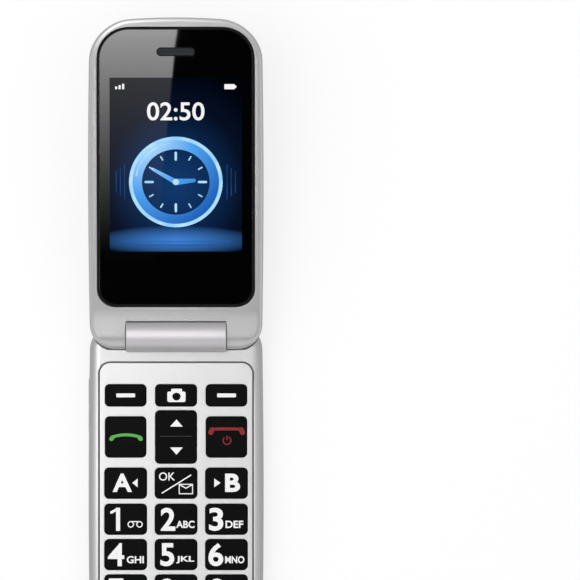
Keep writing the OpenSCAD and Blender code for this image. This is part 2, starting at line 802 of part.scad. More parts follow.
module base_rear_housing() {
    bay = [battery_w / 2 + loose, battery_u0 - loose, battery_u1 + loose];
    color("#4a4b49") in_base() difference() {
        union() {
            difference() {
                back_form();
                loft([[wall + 0.4, floor_z], [wall, split_z + 1]], -base_past_axis);
            }
            block(-bay[0] - bay_wall, bay[0] + bay_wall, bay[1] - bay_wall, bay[2] + bay_wall,
                  cover_t + 0.3, roof_z + roof_t);
            both_sides() for (at = base_screws_at)
                post(boss_r, at[0], at[1], cover_t, split_z);
        }
        block(-bay[0], bay[0], bay[1], bay[2], -1, roof_z);
        cover_space(cover_gap, cover_t + cover_gap);
        block(-4.1, 4.1, bay[1] - 3, bay[1] + 0.1, battery_z + 1.2, board_z + 1);
        centred(card_x, card_u, 0, [card[0] - 1, card[1] - 1, split_z]);
        both_sides() for (at = base_screws_at) {
            post(screw_head[0] + slip, at[0], at[1], -1, at[2] + screw_head[1] + slip);
            post(screw_r + slip, at[0], at[1], 0, split_z + 1);
        }
        for (i = [-3 : 3])
            centred(speaker_x + 2 * i, speaker_u - 0.5, -1, [0.8, 4, floor_z + 2]);
    }
}

module battery_cover() {
    color("#4a4b49") in_base() intersection() {
        back_form();
        cover_space(0, cover_t);
    }
}

module loudspeaker() {
    color("#26272a") in_base() centred(speaker_x, speaker_u, floor_z + slip, speaker);
}

module usb_socket() {
    color("#b2b4b8") in_base() difference() {
        centred(0, tip_u - 0.7 - usb[1] / 2, board_z - usb[2], usb);
        block(-3.4, 3.4, tip_u - 5, tip_u, board_z - usb[2] + 0.4, board_z - 0.4);
    }
}

module charge_contacts() {
    color("#c9a24a") in_base() both_sides()
        centred(contact_x, tip_u - 0.5 - contact[1] / 2, contact_z, contact);
}

module card_holder() {
    color("#aeb0b4") in_base() difference() {
        centred(card_x, card_u, board_z - card[2], card);
        centred(card_x, card_u + 1, board_z - card[2] - 1, [card[0] - 3, card[1], 1.9]);
    }
}

module vibration_motor() {
    color("#9fa1a5") in_base() translate([0, motor_u, motor_z]) difference() {
        bar(motor_r, motor_x[0], motor_x[1]);
        bar(motor_shaft_r + pin_play, motor_x[1] - 3, motor_x[1] + 1);
    }
}

module vibration_weight() {
    color("#6f7175") in_base() translate([0, motor_u, motor_z]) {
        difference() {
            bar(motor_r - 0.1, weight_x[0], weight_x[1]);
            block(weight_x[0] - 1, weight_x[1] + 1, -5, 5, 0.6, 5);
        }
        bar(motor_shaft_r, motor_x[1] - 2.5, weight_x[0] + eps);
    }
}

module microphone() {
    color("#b2a46a") in_base() post(1.9, 9.5, tip_u - 5.6, board_z - 1.4, board_z);
}

module base_screws() {
    color("#8d8f92") in_base() both_sides()
        for (at = base_screws_at) screw(at[0], at[1], at[2], at[3]);
}

// Rocker in the side wall; it turns a little about an upright axis at its middle.
module volume_rocker() {
    half = volume_l / 2;
    z0 = volume_z - volume[1] / 2;
    z1 = volume_z + volume[1] / 2;
    color("#cfd0d2") in_base() {
        block(-body_w / 2, volume_pivot_x + eps, volume_u - half, volume_u + half, z0, z1);
        block(volume_pivot_x - 0.15, volume_pivot_x + 0.15, volume_u - half - 0.8,
              volume_u + half + 0.8, z0 - 0.2, z1 + 0.2);
        post(volume_pin_r, volume_pivot_x, volume_u, z0, volume_pin_z);
    }
}

lid_outer_cover();
lid_inner_frame();
display_glass();
display_module();
earpiece_grille();
earpiece_receiver();
lid_board();
camera_module();
camera_lens();
status_lights();
accent_strip();
lid_screws();
flip_magnet();
hinge_barrel();
hinge_cartridge();
hinge_cam();
hinge_follower();
hinge_spring();
pivot_bush();
hinge_flex();
base_front_frame();
keypad_panel();
keypad_mat();
dome_sheet();
main_board();
shield_cans();
battery();
battery_contacts();
base_rear_housing();
battery_cover();
loudspeaker();
usb_socket();
charge_contacts();
card_holder();
vibration_motor();
vibration_weight();
microphone();
base_screws();
volume_rocker();
for (key = KEYS) push_key(key);
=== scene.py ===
"""Dresses a folding phone with large keys, piece by piece, around its solid model.

Every piece is modelled in millimetres in the frame of its own half: x runs to the right, z out of the
keypad or the display, and y along the phone, from 0 at the hinge axis. The lid lies at positive y and
the base at negative y. seat() then brings the piece to its place in the phone, in metres.
"""
import json
import math

import bmesh
import bpy
from mathutils import Matrix, Vector


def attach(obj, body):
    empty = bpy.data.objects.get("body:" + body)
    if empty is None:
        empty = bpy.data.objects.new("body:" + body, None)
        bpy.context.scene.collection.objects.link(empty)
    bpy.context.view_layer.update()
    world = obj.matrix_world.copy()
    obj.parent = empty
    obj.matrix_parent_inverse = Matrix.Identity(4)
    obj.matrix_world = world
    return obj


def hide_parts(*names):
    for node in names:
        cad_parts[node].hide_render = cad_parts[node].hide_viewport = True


bl_info = {
    "name": "Folding phone with large keys",
    "version": (1, 0, 0),
    "blender": (4, 5, 0),
    "location": "View3D > Sidebar > Phone",
    "description": "Dresses the solid model of a folding phone with its finished pieces",
    "category": "Object",
}

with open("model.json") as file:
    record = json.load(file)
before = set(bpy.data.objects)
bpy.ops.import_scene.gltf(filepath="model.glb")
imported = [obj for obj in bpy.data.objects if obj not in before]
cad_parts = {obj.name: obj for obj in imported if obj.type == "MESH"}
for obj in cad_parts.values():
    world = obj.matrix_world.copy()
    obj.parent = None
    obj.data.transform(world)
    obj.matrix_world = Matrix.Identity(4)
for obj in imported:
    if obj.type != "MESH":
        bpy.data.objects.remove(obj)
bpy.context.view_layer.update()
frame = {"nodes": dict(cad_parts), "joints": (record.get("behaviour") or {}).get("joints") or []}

MM = 0.001
NEAR = 0.001
SHARP = math.radians(38)
HINGE = Vector(next(joint["pos_m"] for joint in frame["joints"] if joint["name"] == "lid_hinge"))
LID_TILT = math.radians(15)
HALVES = {
    "lid": Matrix.Translation(HINGE) @ Matrix.Rotation(LID_TILT, 4, "X") @ Matrix.Scale(MM, 4),
    "base": Matrix.Translation((0, HINGE.y, 0)) @ Matrix.Scale(MM, 4),
}


def corners_of(points):
    """(lowest corner, highest corner) of some points."""
    axes = list(zip(*points))
    return Vector(map(min, axes)), Vector(map(max, axes))


def measure(node, half):
    """(lowest corner, highest corner) of a solid in the frame of its half, in millimetres."""
    to_half = HALVES[half].inverted()
    return corners_of(to_half @ vertex.co for vertex in frame["nodes"][node].data.vertices)


# The corners of those solids that more than one piece follows.
rim_low, rim_high = measure("lid_inner_frame", "lid")
cover_low = measure("lid_outer_cover", "lid")[0]
glass_low, glass_high = measure("display_glass", "lid")
base_low, base_high = measure("base_front_frame", "base")
panel_low, panel_high = measure("keypad_panel", "base")
sleeve_low, sleeve_high = measure("hinge_barrel", "base")
slide_low, slide_high = measure("battery_cover", "base")
lamps_low, lamps_high = measure("status_lights", "lid")

WIDTH = round(base_high.x - base_low.x, 1)
TIP = -base_low.y
LENGTH = TIP - rim_low.y
AXIS_Z = HINGE.z / MM
HINGE_CORNER = 7.5
TIP_CORNER = 11.7
SIDE_BOW = 0.02
TIP_ARCH = 1.8
TIP_LEAN = 0.24
SIDE_ROWS = [8.0 + 8.2 * step for step in range(10)]
TIP_COLUMNS = [-8.8, -4.4, 0.0, 4.4, 8.8]

# The hinge.
EAR_RADIUS = 4.2
EAR_GAP = 0.3
NOTCH_GAP = 0.15
NOTCH_X = sleeve_high.x + NOTCH_GAP
NOTCH_Y = sleeve_high.y + NOTCH_GAP
TROUGH_RADIUS = EAR_RADIUS + EAR_GAP
LID_BLEND = 14.0
SLEEVE_BORE = 3.35
SLEEVE_SEAT = 0.05

# The lid's inside face and its chin, which rises to the ears.
GLASS_RECESS = 0.3
LID_FACE = glass_high.z + GLASS_RECESS
CREST_Y = 0.1
CREST = rim_high.z
CHIN_Y = glass_low.y - 0.2
END_FALL = 1.9
CHIN_ROWS = [-3.3, -2.7, -2.1, -1.5, -0.9, -0.3, 0.4, 1.2, 2.0, 2.8, 3.7, 4.6, 5.5, 6.4, 7.3]
GLASS_CORNERS = (5.4, 9.25)
GLASS_GAP = 0.65
GLASS_LEDGE = 1.6
LAMP_WIDTH = 1.1
LAMP_ROWS = (lamps_low.y + LAMP_WIDTH / 2, lamps_high.y - LAMP_WIDTH / 2)

# The base.
WALL = 1.2
PANEL_CORNERS = (9.0, 3.4)
PANEL_SEAT = 1.3
PANEL_SHELF = 0.8
PANEL_GROOVE = 0.36
SHOULDER_X = 16.8
CONTACT_WIDTH = 3.0
ROCKER_LIP = 0.8
ROCKER_PLAY = 0.3
ROCKER_SLOT = (5.5, 8.5)
COVER_LIP = 0.8
COVER_PLAY = 0.1
LIP_Z = 0.65
FLOOR_Z = 2.5
BACK_EDGE = 3.0
TROUGH_FLOOR = AXIS_Z - TROUGH_RADIUS - 1.4
HOLLOW_Y = -(sleeve_high.y + EAR_GAP + 1.3)
KEY_CORNER = 1.2
FLANGE = 0.3
FLANGE_TALL = 0.4
KEY_GAP = 0.15

PUSH_KEYS = ["key_soft_left", "key_camera", "key_soft_right", "key_call", "key_navigate", "key_end",
             "key_a", "key_ok", "key_b"]
PUSH_KEYS += [f"key_{digit}" for digit in range(1, 10)] + ["key_star", "key_0", "key_hash"]


# ---- sizes and colours that a user may change ----

def length(name, description, millimetres):
    return bpy.props.FloatProperty(name=name, description=description, default=millimetres * MM,
                                   min=0, precision=5, subtype="DISTANCE", unit="LENGTH")


def level(name, description, default):
    return bpy.props.FloatProperty(name=name, description=description, default=default, min=0)


def colour(name, description, code):
    return bpy.props.FloatVectorProperty(name=name, description=description, default=web(code),
                                         min=0, max=1, size=3, subtype="COLOR")


def web(code):
    """Linear colour of a web colour code."""
    parts = [int(code[i:i + 2], 16) / 255 for i in (0, 2, 4)]
    return tuple(c / 12.92 if c < 0.04045 else ((c + 0.055) / 1.055) ** 2.4 for c in parts)


class PhoneSizes(bpy.types.PropertyGroup):
    """Edges and small details of the pieces"""
    rim_inset: length("Lid rim rounding", "How far the rounding reaches over the lid's face", 1.5)
    rim_drop: length("Lid rim drop", "How far the rounding falls at the lid's side", 0.8)
    notch_lip: length("Notch lip", "Radius of the bead on the lid's edge behind the sleeve", 0.3)
    base_inset: length("Base rounding", "How far the rounding reaches over the base's face", 3.0)
    base_drop: length("Base drop", "How far the rounding falls at the base's side", 2.3)
    lid_inset: length("Lid back rounding", "How far the rounding reaches over the lid's outside", 4.8)
    lid_drop: length("Lid back drop", "How far the rounding rises at the lid's side", 3.6)
    seam: length("Seam", "Rounding of the edges at the seams", 0.14)
    glass_edge: length("Glass edge", "Rounding of the glass", 0.14)
    key_edge: length("Key edge", "Rounding of the keys", 0.4)
    key_print: length("Print", "Height of the print on the keys", 0.02)
    sleeve_edge: length("Sleeve edge", "Rounding of the ends of the hinge sleeve", 0.35)


class PhoneColours(bpy.types.PropertyGroup):
    """Colours of the pieces"""
    shell: colour("Shell", "Matt shell of the lid and the back", "4c4d4b")
    rim: colour("Rim", "Silver paint of the frames", "d9d8d9")
    panel: colour("Panel", "Silver paint round the keys", "e4e3e4")
    sleeve: colour("Sleeve", "Metal of the hinge sleeve", "ebe9eb")
    key: colour("Key", "Key caps", "0e0e0e")
    legend: colour("Print", "Pale print on the keys", "ffffff")
    call: colour("Call", "Print on the call key", "62c45c")
    end: colour("End", "Print on the end key", "9a2028")
    night: colour("Picture background", "Dark blue of the picture", "061024")
    glow: colour("Picture glow", "Light blue of the picture", "4da0f0")
    lamp: colour("Status lights", "Pale yellow of the light bars", "f1efcf")


class PhoneStage(bpy.types.PropertyGroup):
    """Camera, light and floor"""
    camera_height: length("Camera height", "Height of the camera over the floor", 6000)
    view_width: length("View width", "Width of the view at the keypad", 165.7)
    camera_x: length("Camera x", "Place of the camera, right of the phone's middle", 32.54)
    camera_y: length("Camera y", "Place of the camera, beyond the hinge axis", 13.1)
    back: level("Back", "Light of the sky behind the lid", 0.55)
    sides: level("Sides", "Light of the sky at the sides", 0.5)
    front: level("Front", "Light of the sky low over the keys", 0.78)
    right: level("Right", "Light of the sky high on the right", 1.1)
    horizon: level("Horizon", "Light of the sky low at the sides", 0.28)
    flag: level("Flag", "Light of the dark field high over the keys", 0.26)
    softbox: level("Softbox", "Light of the softbox", 3.3)
    gloss: level("Gloss", "Light of the card that the glass mirrors", 8.9)
    floor_lift: level("Floor lift", "Light that the floor adds in view", 0.77)


def sizes():
    """The sizes in millimetres, by name."""
    group = bpy.context.scene.phone_sizes
    return {name: getattr(group, name) / MM for name in PhoneSizes.__annotations__}


# ---- finishes ----

class Tree:
    """The shader nodes of a material or a world, in the making."""

    def __init__(self, owner):
        owner.use_nodes = True
        self.graph = owner.node_tree

    def link(self, output, socket):
        self.graph.links.new(output, socket)

    def node(self, kind, inputs=None, **settings):
        """A node; its inputs are values or other nodes' outputs."""
        node = self.graph.nodes.new(f"ShaderNode{kind}")
        for name, value in settings.items():
            setattr(node, name, value)
        for name, value in (inputs or {}).items():
            if isinstance(value, bpy.types.NodeSocket):
                self.link(value, node.inputs[name])
            else:
                node.inputs[name].default_value = value
        return node

    def math(self, operation, *values):
        return self.node("Math", dict(enumerate(values)), operation=operation).outputs[0]

    def between(self, value, start, end):
        """0 at the start of the range, 1 at its end."""
        return self.node("MapRange", {"Value": value, "From Min": start, "From Max": end}).outputs[0]


class Finish(Tree):
    """A material in the making, whose textures are measured in millimetres in the frame of a half."""

    def __init__(self, name, tint, roughness, half="base", **sockets):
        self.material = bpy.data.materials.new(name)
        super().__init__(self.material)
        self.shader = self.graph.nodes["Principled BSDF"]
        self.tint = tuple(tint)
        self.roughness = roughness
        self.half = half
        sockets.update(Base_Color=(*self.tint, 1), Roughness=roughness)
        for socket, value in sockets.items():
            self.shader.inputs[socket.replace("_", " ")].default_value = value

    def drive(self, socket, output):
        self.link(output, self.shader.inputs[socket])
        return self

    def place(self, stretch=(1, 1, 1)):
        """Millimetres in the frame of the half, each axis divided by its stretch."""
        matrix = HALVES[self.half]
        spot = self.node("TexCoord").outputs["Object"]
        return self.node("Mapping", {"Vector": spot, "Location": matrix.translation,
                                     "Rotation": matrix.to_euler(), "Scale": [MM * s for s in stretch]},
                         vector_type="TEXTURE").outputs["Vector"]

    def noise(self, size, stretch=(1, 1, 1)):
        return self.node("TexNoise", {"Vector": self.place(stretch), "Scale": 1 / size,
                                      "Detail": 3.0}).outputs["Fac"]

    def ramp(self, factor, *stops):
        """Colours along a factor; each stop is (place, colour or grey)."""
        node = self.node("ValToRGB", {"Fac": factor})
        elements = node.color_ramp.elements
        while len(elements) < len(stops):
            elements.new(0.5)
        for element, (spot, shade) in zip(elements, stops):
            element.position = spot
            element.color = (*shade, 1) if isinstance(shade, tuple) else (shade, shade, shade, 1)
        return node.outputs["Color"]

    def tinted(self, amount):
        return tuple(min(1.0, part * amount) for part in self.tint)

    def flecks(self, size, spread, stretch=(1, 1, 1)):
        """Lighter and darker flecks in the colour."""
        shades = self.ramp(self.noise(size, stretch), (0.32, self.tinted(1 - spread)),
                           (0.68, self.tinted(1 + spread)))
        return self.drive("Base Color", shades)

    def patches(self, size, spread, stretch=(1, 1, 1)):
        """Duller and glossier patches."""
        shades = self.ramp(self.noise(size, stretch), (0.3, max(0.0, self.roughness - spread)),
                           (0.7, self.roughness + spread))
        return self.drive("Roughness", shades)

    def grain(self, size, depth, stretch=(1, 1, 1)):
        """A fine relief, depth in millimetres."""
        bump = self.node("Bump", {"Height": self.noise(size, stretch), "Distance": depth * MM,
                                  "Strength": 1.0})
        return self.drive("Normal", bump.outputs["Normal"])


def textured(name, tint, roughness, flecks, patches, grain=None, glow=0.0, half="base", **sockets):
    """The maker of a textured finish; its tint is a colour or the name of one of the user's colours."""
    def make(colours):
        shade = getattr(colours, tint) if isinstance(tint, str) else tint
        light = {"Emission_Color": (*shade, 1), "Emission_Strength": glow}
        made = Finish(name, shade, roughness, half, **sockets, **light)
        made.flecks(*flecks).patches(*patches)
        return made.grain(*grain) if grain else made

    make.__name__ = name
    return make


AROUND = (0.3, 40, 40)
TURNED = (0.3, 20, 20)
BRUSHED = (8, 1, 1)
PRINT = {"roughness": 0.4, "flecks": (0.2, 0.03), "patches": (1, 0.04), "Specular_IOR_Level": 0.3}

shell_plastic = textured("shell_plastic", "shell", 0.5, (0.22, 0.10), (4, 0.05), (0.16, 0.012),
                         Specular_IOR_Level=0.35)
rim_paint = textured("rim_paint", "rim", 0.3, (0.07, 0.025), (3, 0.02), (0.09, 0.001), Metallic=0.72)
panel_paint = textured("panel_paint", "panel", 0.3, (0.07, 0.02), (3, 0.02), (0.09, 0.001), Metallic=0.68)
turned_metal = textured("turned_metal", "sleeve", 0.44, (0.2, 0.012, AROUND), (0.4, 0.015, AROUND),
                        (0.2, 0.0002, AROUND), Metallic=0.85)
window_black = textured("window_black", (0.0012, 0.0012, 0.0015), 0.012, (9, 0.2), (14, 0.004),
                        half="lid", IOR=1.46)
lens_black = textured("lens_black", (0.003, 0.003, 0.004), 0.05, (0.9, 0.4), (2, 0.015),
                      half="lid", Specular_IOR_Level=0.2)
# The pale eye on the lens is partly an inner lens and partly a painted glint.
lens_eye = textured("lens_eye", (0.8, 0.82, 0.86), 0.2, (0.1, 0.05), (0.2, 0.04), half="lid", Metallic=0.7)
lens_ring = textured("lens_ring", (0.03, 0.03, 0.032), 0.3, (0.1, 0.1), (0.5, 0.05), half="lid", Metallic=0.6)
key_plastic = textured("key_plastic", "key", 0.3, (0.3, 0.12), (2.5, 0.04), (0.2, 0.002),
                       Specular_IOR_Level=0.04)
# The pale key print shines a little by itself, which is painted light.
legend_print = textured("legend_print", "legend", glow=0.14, **PRINT)
call_print = textured("call_print", "call", **PRINT)
end_print = textured("end_print", "end", **PRINT)
sign_print = textured("sign_print", web("a9aaa8"), **PRINT)
# Grey line beside the groove of the navigation key: a painted highlight of the groove's edge.
seam_print = textured("seam_print", web("505050"), **PRINT)
lamp_plastic = textured("lamp_plastic", "lamp", 0.25, (0.5, 0.05), (1, 0.05), glow=0.3, half="lid",
                        Subsurface_Weight=0.1)
grille_plastic = textured("grille_plastic", (0.03, 0.032, 0.035), 0.4, (0.1, 0.12), (0.6, 0.06),
                          half="lid", Metallic=0.4)
moulded_black = textured("moulded_black", (0.022, 0.022, 0.023), 0.5, (0.3, 0.15), (2, 0.06), (0.15, 0.006))
# Black filling for the gap round the display glass: painted shade, standing in for the dark of the glass's
# edge and of the gap.
seal_black = textured("seal_black", (0.005, 0.005, 0.0055), 0.45, (0.3, 0.1), (2, 0.05),
                      half="lid", Specular_IOR_Level=0.15)
# Grey filling for the groove round the keypad plate: painted shade, standing in for the shade in that groove.
seal_grey = textured("seal_grey", (0.14, 0.14, 0.145), 0.6, (0.3, 0.1), (2, 0.05))
plain_steel = textured("plain_steel", (0.56, 0.56, 0.57), 0.3, (0.25, 0.06, BRUSHED), (0.5, 0.06, BRUSHED),
                       (0.2, 0.001, BRUSHED), Metallic=0.95)
turned_steel = textured("turned_steel", (0.5, 0.5, 0.51), 0.28, (0.3, 0.06, TURNED), (0.3, 0.06, TURNED),
                        (0.2, 0.001, TURNED), Metallic=0.95)
cast_grey = textured("cast_grey", (0.2, 0.2, 0.21), 0.55, (0.3, 0.15), (1, 0.08), (0.25, 0.008), Metallic=0.8)
gold_flash = textured("gold_flash", (0.78, 0.56, 0.2), 0.24, (0.3, 0.05), (0.8, 0.05), (0.3, 0.001),
                      Metallic=0.95)
battery_sleeve = textured("battery_sleeve", (0.03, 0.033, 0.038), 0.38, (0.8, 0.12, (1, 12, 1)), (4, 0.06),
                          (1.2, 0.004, (1, 10, 1)))
silicone = textured("silicone", (0.42, 0.43, 0.45), 0.55, (0.8, 0.05), (2, 0.05), (0.3, 0.003),
                    Subsurface_Weight=0.1)


def inlay_metal(_colours):
    """Metal that is bright in its middle and smoked towards its ends."""
    along = (25, 0.5, 0.5)
    metal = Finish("inlay_metal", (0.8, 0.8, 0.81), 0.3, half="lid", Metallic=0.8) \
        .patches(0.4, 0.05, along).grain(0.2, 0.0005, along)
    parts = metal.node("SeparateXYZ", {"Vector": metal.place()}).outputs
    half_length = 19.0
    share = metal.between(metal.math("ABSOLUTE", parts["X"]), 0.0, half_length)
    # Painted sheen: the base colour runs from bright at the middle to dark at the ends.
    return metal.drive("Base Color", metal.ramp(share, (0.0, 0.95), (0.35, 0.8), (0.75, 0.42), (1.0, 0.3)))


def striped(made, stripe, size, share):
    """Draws upright stripes of another colour over a finish; size sets their spacing."""
    bands = made.node("TexWave", {"Vector": made.place((1, 1e3, 1e3)), "Scale": 3 / (math.tau * size),
                                    "Distortion": 0.0}, wave_profile="SIN").outputs["Fac"]
    shades = made.ramp(bands, (1 - share, made.tint), (min(1, 1.08 - share), stripe))
    return made.drive("Base Color", shades)


def solder_mask(_colours):
    mask = Finish("solder_mask", (0.018, 0.11, 0.05), 0.3).patches(2, 0.05).grain(0.6, 0.004)
    cells = mask.node("TexVoronoi", {"Vector": mask.place(), "Scale": 0.45, "Randomness": 0.35},
                      distance="CHEBYCHEV").outputs["Distance"]
    lands = mask.ramp(cells, (0.12, (0.55, 0.42, 0.16)), (0.15, (0.02, 0.14, 0.06)),
                      (0.5, (0.016, 0.1, 0.045)), (0.9, (0.03, 0.17, 0.08)))
    return mask.drive("Base Color", lands)


def amber_film(_colours):
    film = Finish("amber_film", (0.5, 0.24, 0.04), 0.35).patches(1, 0.05)
    return striped(film, (0.62, 0.34, 0.1), 0.4, 0.45)


def panel_backlight(_colours):
    panel = Finish("panel_backlight", (0.02, 0.05, 0.14), 0.25, half="lid").patches(3, 0.04)
    return striped(panel, (0.03, 0.09, 0.22), 0.5, 0.4)


def lit(name):
    """A finish that shines by itself under a glossy face."""
    return Finish(name, (0.0, 0.0, 0.0), 0.012, half="lid", Specular_IOR_Level=0.08, Emission_Strength=1.0)


def halo(made, middle, reach):
    """1 at the middle of a soft spot, 0 at its reach and beyond; both in millimetres."""
    spot = made.node("Mapping", {"Vector": made.place(), "Location": middle, "Scale": reach},
                       vector_type="TEXTURE").outputs["Vector"]
    return made.node("TexGradient", {"Vector": spot}, gradient_type="SPHERICAL").outputs["Fac"]


def picture_night(colours):
    """Dark blue ground with a glow round the clock and a lit floor below it."""
    foot = picture_box()[0].y
    made = lit("picture_night")
    glow = halo(made, (0, foot + 20, LID_FACE), (30, 34, 30))
    ground = made.ramp(glow, (0.0, web("01030a")), (0.35, tuple(colours.night)), (1.0, web("123a6e")))
    shine = halo(made, (0, foot + 3.2, LID_FACE), (24, 4.5, 24))
    floor = made.ramp(shine, (0.0, 0.0), (1.0, web("3f7fd0")))
    both = made.node("Mix", {"Factor": 1.0, 6: ground, 7: floor}, data_type="RGBA", blend_type="ADD")
    return made.drive("Emission Color", both.outputs[2])


def picture_blue(colours):
    """Glossy blue that is paler towards its upper left."""
    made = lit("picture_blue")
    shine = halo(made, (-9, picture_box()[0].y + 34, LID_FACE), (26, 30, 26))
    shades = made.ramp(shine, (0.0, web("1c5fb8")), (0.45, tuple(colours.glow)), (1.0, web("b9e4ff")))
    return made.drive("Emission Color", shades)


def clouded(name, size, *stops):
    """The maker of a shining finish whose shade wanders between the stops."""
    def make(_colours):
        made = lit(name)
        return made.drive("Emission Color", made.ramp(made.noise(size), *stops))

    make.__name__ = name
    return make


picture_white = clouded("picture_white", 3, (0.2, 0.86), (0.8, 0.98))
picture_pale = clouded("picture_pale", 4, (0.3, web("8fd0ff")), (0.7, web("c4ebff")))
picture_dim = clouded("picture_dim", 4, (0.3, web("10305c")), (0.7, web("1c4a86")))


def finish(maker):
    """The material that a maker gives, made once."""
    known = bpy.data.materials.get(maker.__name__)
    return known or maker(bpy.context.scene.phone_colours).material


def paint(obj, maker):
    """Gives the whole piece one finish."""
    obj.data.materials.clear()
    obj.data.materials.append(finish(maker))
    return obj


# ---- modelling ----

def deselect():
    if bpy.context.mode != "OBJECT":
        bpy.ops.object.mode_set(mode="OBJECT")
    bpy.ops.object.select_all(action="DESELECT")


def take(obj):
    """Makes obj the only selected piece."""
    deselect()
    obj.select_set(True)
    bpy.context.view_layer.objects.active = obj
    return obj


def settle(obj):
    take(obj)
    bpy.ops.object.transform_apply(location=True, rotation=True, scale=True)
    return obj


def pick(obj, kind, test):
    """Enters edit mode with those VERT, EDGE or FACE parts of obj selected that pass the test."""
    take(obj)
    bpy.ops.object.mode_set(mode="EDIT")
    bpy.ops.mesh.select_mode(type=kind)
    bpy.ops.mesh.select_all(action="DESELECT")
    mesh = bmesh.from_edit_mesh(obj.data)
    parts = {"VERT": mesh.verts, "EDGE": mesh.edges, "FACE": mesh.faces}[kind]
    chosen = [part for part in parts if test(part)]
    if not chosen:
        raise RuntimeError(f"{obj.name}: nothing to pick")
    for part in chosen:
        part.select = True
    mesh.select_flush_mode()
    bmesh.update_edit_mesh(obj.data)


def block(name, low, high):
    """A block between two corners."""
    deselect()
    bpy.ops.mesh.primitive_cube_add(size=1, location=[(a + b) / 2 for a, b in zip(low, high)])
    obj = bpy.context.object
    obj.name = name
    obj.scale = [b - a for a, b in zip(low, high)]
    return settle(obj)


def grown(low, high, play, z0, z1):
    """The corners of a box that is wider by play at each side and reaches from z0 to z1."""
    return (low.x - play, low.y - play, z0), (high.x + play, high.y + play, z1)


def round_edges(obj, test, width, steps):
    """Rounds those edges that pass the test."""
    pick(obj, "EDGE", test)
    bpy.ops.mesh.bevel(offset=width, segments=steps, affect="EDGES")
    deselect()
    return obj


def upright(edge):
    a, b = (vertex.co for vertex in edge.verts)
    return abs(a.z - b.z) > NEAR and (a.xy - b.xy).length < NEAR


def plate(name, low, high, corners, steps=8):
    """A plate between two corners; corners are its radii at low y and at high y, or one for both."""
    if isinstance(corners, float):
        corners = (corners, corners)
    obj = block(name, low, high)
    for radius, y in zip(corners, (low[1], high[1])):
        round_edges(obj, lambda edge: upright(edge) and abs(edge.verts[0].co.y - y) < NEAR, radius, steps)
    return obj


def rod(name, start, end, radius, sides=48):
    """A round bar between two points that lie on one axis."""
    deselect()
    start, end = Vector(start), Vector(end)
    along = end - start
    bpy.ops.mesh.primitive_cylinder_add(vertices=sides, radius=radius, depth=along.length,
                                        location=(start + end) / 2,
                                        rotation=along.to_track_quat("Z", "Y").to_euler())
    obj = bpy.context.object
    obj.name = name
    return settle(obj)


def prism(name, outline, reach):
    """A bar across the phone, of that reach to each side, whose side view is the outline of (y, z)."""
    deselect()
    bpy.ops.mesh.primitive_plane_add(size=1)
    obj = bpy.context.object
    obj.name = name
    bpy.ops.object.mode_set(mode="EDIT")
    bpy.ops.mesh.select_mode(type="VERT")
    bpy.ops.mesh.select_all(action="SELECT")
    bpy.ops.mesh.merge(type="CENTER")
    bpy.ops.transform.translate(value=(-reach, *outline[0]))
    for start, end in zip(outline, outline[1:]):
        step = (0, end[0] - start[0], end[1] - start[1])
        bpy.ops.mesh.extrude_vertices_move(TRANSFORM_OT_translate={"value": step})
    bpy.ops.mesh.select_all(action="SELECT")
    bpy.ops.mesh.edge_face_add()
    bpy.ops.mesh.extrude_region_move(TRANSFORM_OT_translate={"value": (2 * reach, 0, 0)})
    bpy.ops.mesh.select_all(action="SELECT")
    bpy.ops.mesh.normals_make_consistent(inside=False)
    deselect()
    return obj


def cut_rows(obj, axis, places):
    """Adds a row of vertices round the piece at each of the places on its x or its y axis."""
    across = Vector((axis == "x", axis == "y", 0))
    for place in places:
        take(obj)
        bpy.ops.object.mode_set(mode="EDIT")
        bpy.ops.mesh.select_all(action="SELECT")
        bpy.ops.mesh.bisect(plane_co=place * across, plane_no=across, threshold=1e-5)
    deselect()


def shape(obj, rule):
    """Moves every vertex where the rule says, for forms that no operator gives."""
    for vertex in obj.data.vertices:
        vertex.co = rule(vertex.co.copy())
    obj.data.update()
    return obj


def bow(point):
    """Lets the sides swell and the tip edge arch, in the frame of the lid."""
    along = (point.y - (TIP + rim_low.y) / 2) / (LENGTH / 2)
    across = 2 * point.x / WIDTH
    point.x *= 1 - SIDE_BOW * along * along
    point.y -= TIP_ARCH * across * across * max(0.0, along)
    return point


def lean(point):
    """Lets the lid's tip edge lean inwards below its face."""
    share = max(0.0, point.y / TIP - 0.5) * 2
    point.y -= TIP_LEAN * max(0.0, LID_FACE - point.z) * share * share
    return point


def half_plate(name, z0, z1, inset=0.0, half="lid", rows=()):
    """A plate with the outline of a half, set in by inset."""
    end = base_high.y if half == "base" else -rim_low.y
    side = WIDTH / 2 - inset
    obj = plate(name, (-side, inset - end, z0), (side, TIP - inset, z1),
                (HINGE_CORNER - inset, TIP_CORNER - inset), steps=12)
    cut_rows(obj, "y", [*SIDE_ROWS, *rows])
    cut_rows(obj, "x", TIP_COLUMNS)
    shape(obj, bow)
    if half == "lid":
        return shape(obj, lean)
    obj.rotation_euler = (0, 0, math.pi)
    return settle(obj)


def soften(obj, inset, drop, facing=1, steps=6):
    """Rounds the edges round the faces that look up, or down: inset over the face, drop down the side."""
    obj.scale.z = inset / drop
    settle(obj)

    def between_face_and_side(edge):
        tilts = sorted(face.normal.z * facing for face in edge.link_faces)
        return len(tilts) == 2 and abs(tilts[0]) < 0.3 and tilts[1] > 0.6

    round_edges(obj, between_face_and_side, inset, steps)
    obj.scale.z = drop / inset
    return settle(obj)


def join(name, parts):
    deselect()
    for part in parts:
        part.select_set(True)
    bpy.context.view_layer.objects.active = parts[0]
    bpy.ops.object.join()
    obj = bpy.context.object
    obj.name = name
    return obj


def carve(obj, *tools, operation="DIFFERENCE"):
    """Cuts the tools out of the piece, or keeps only what is inside them."""
    for tool in tools:
        modifier = obj.modifiers.new("carve", "BOOLEAN")
        modifier.operation = operation
        modifier.solver = "EXACT"
        modifier.object = tool
        take(obj)
        bpy.ops.object.modifier_apply(modifier=modifier.name)
        bpy.data.objects.remove(tool)
    return obj


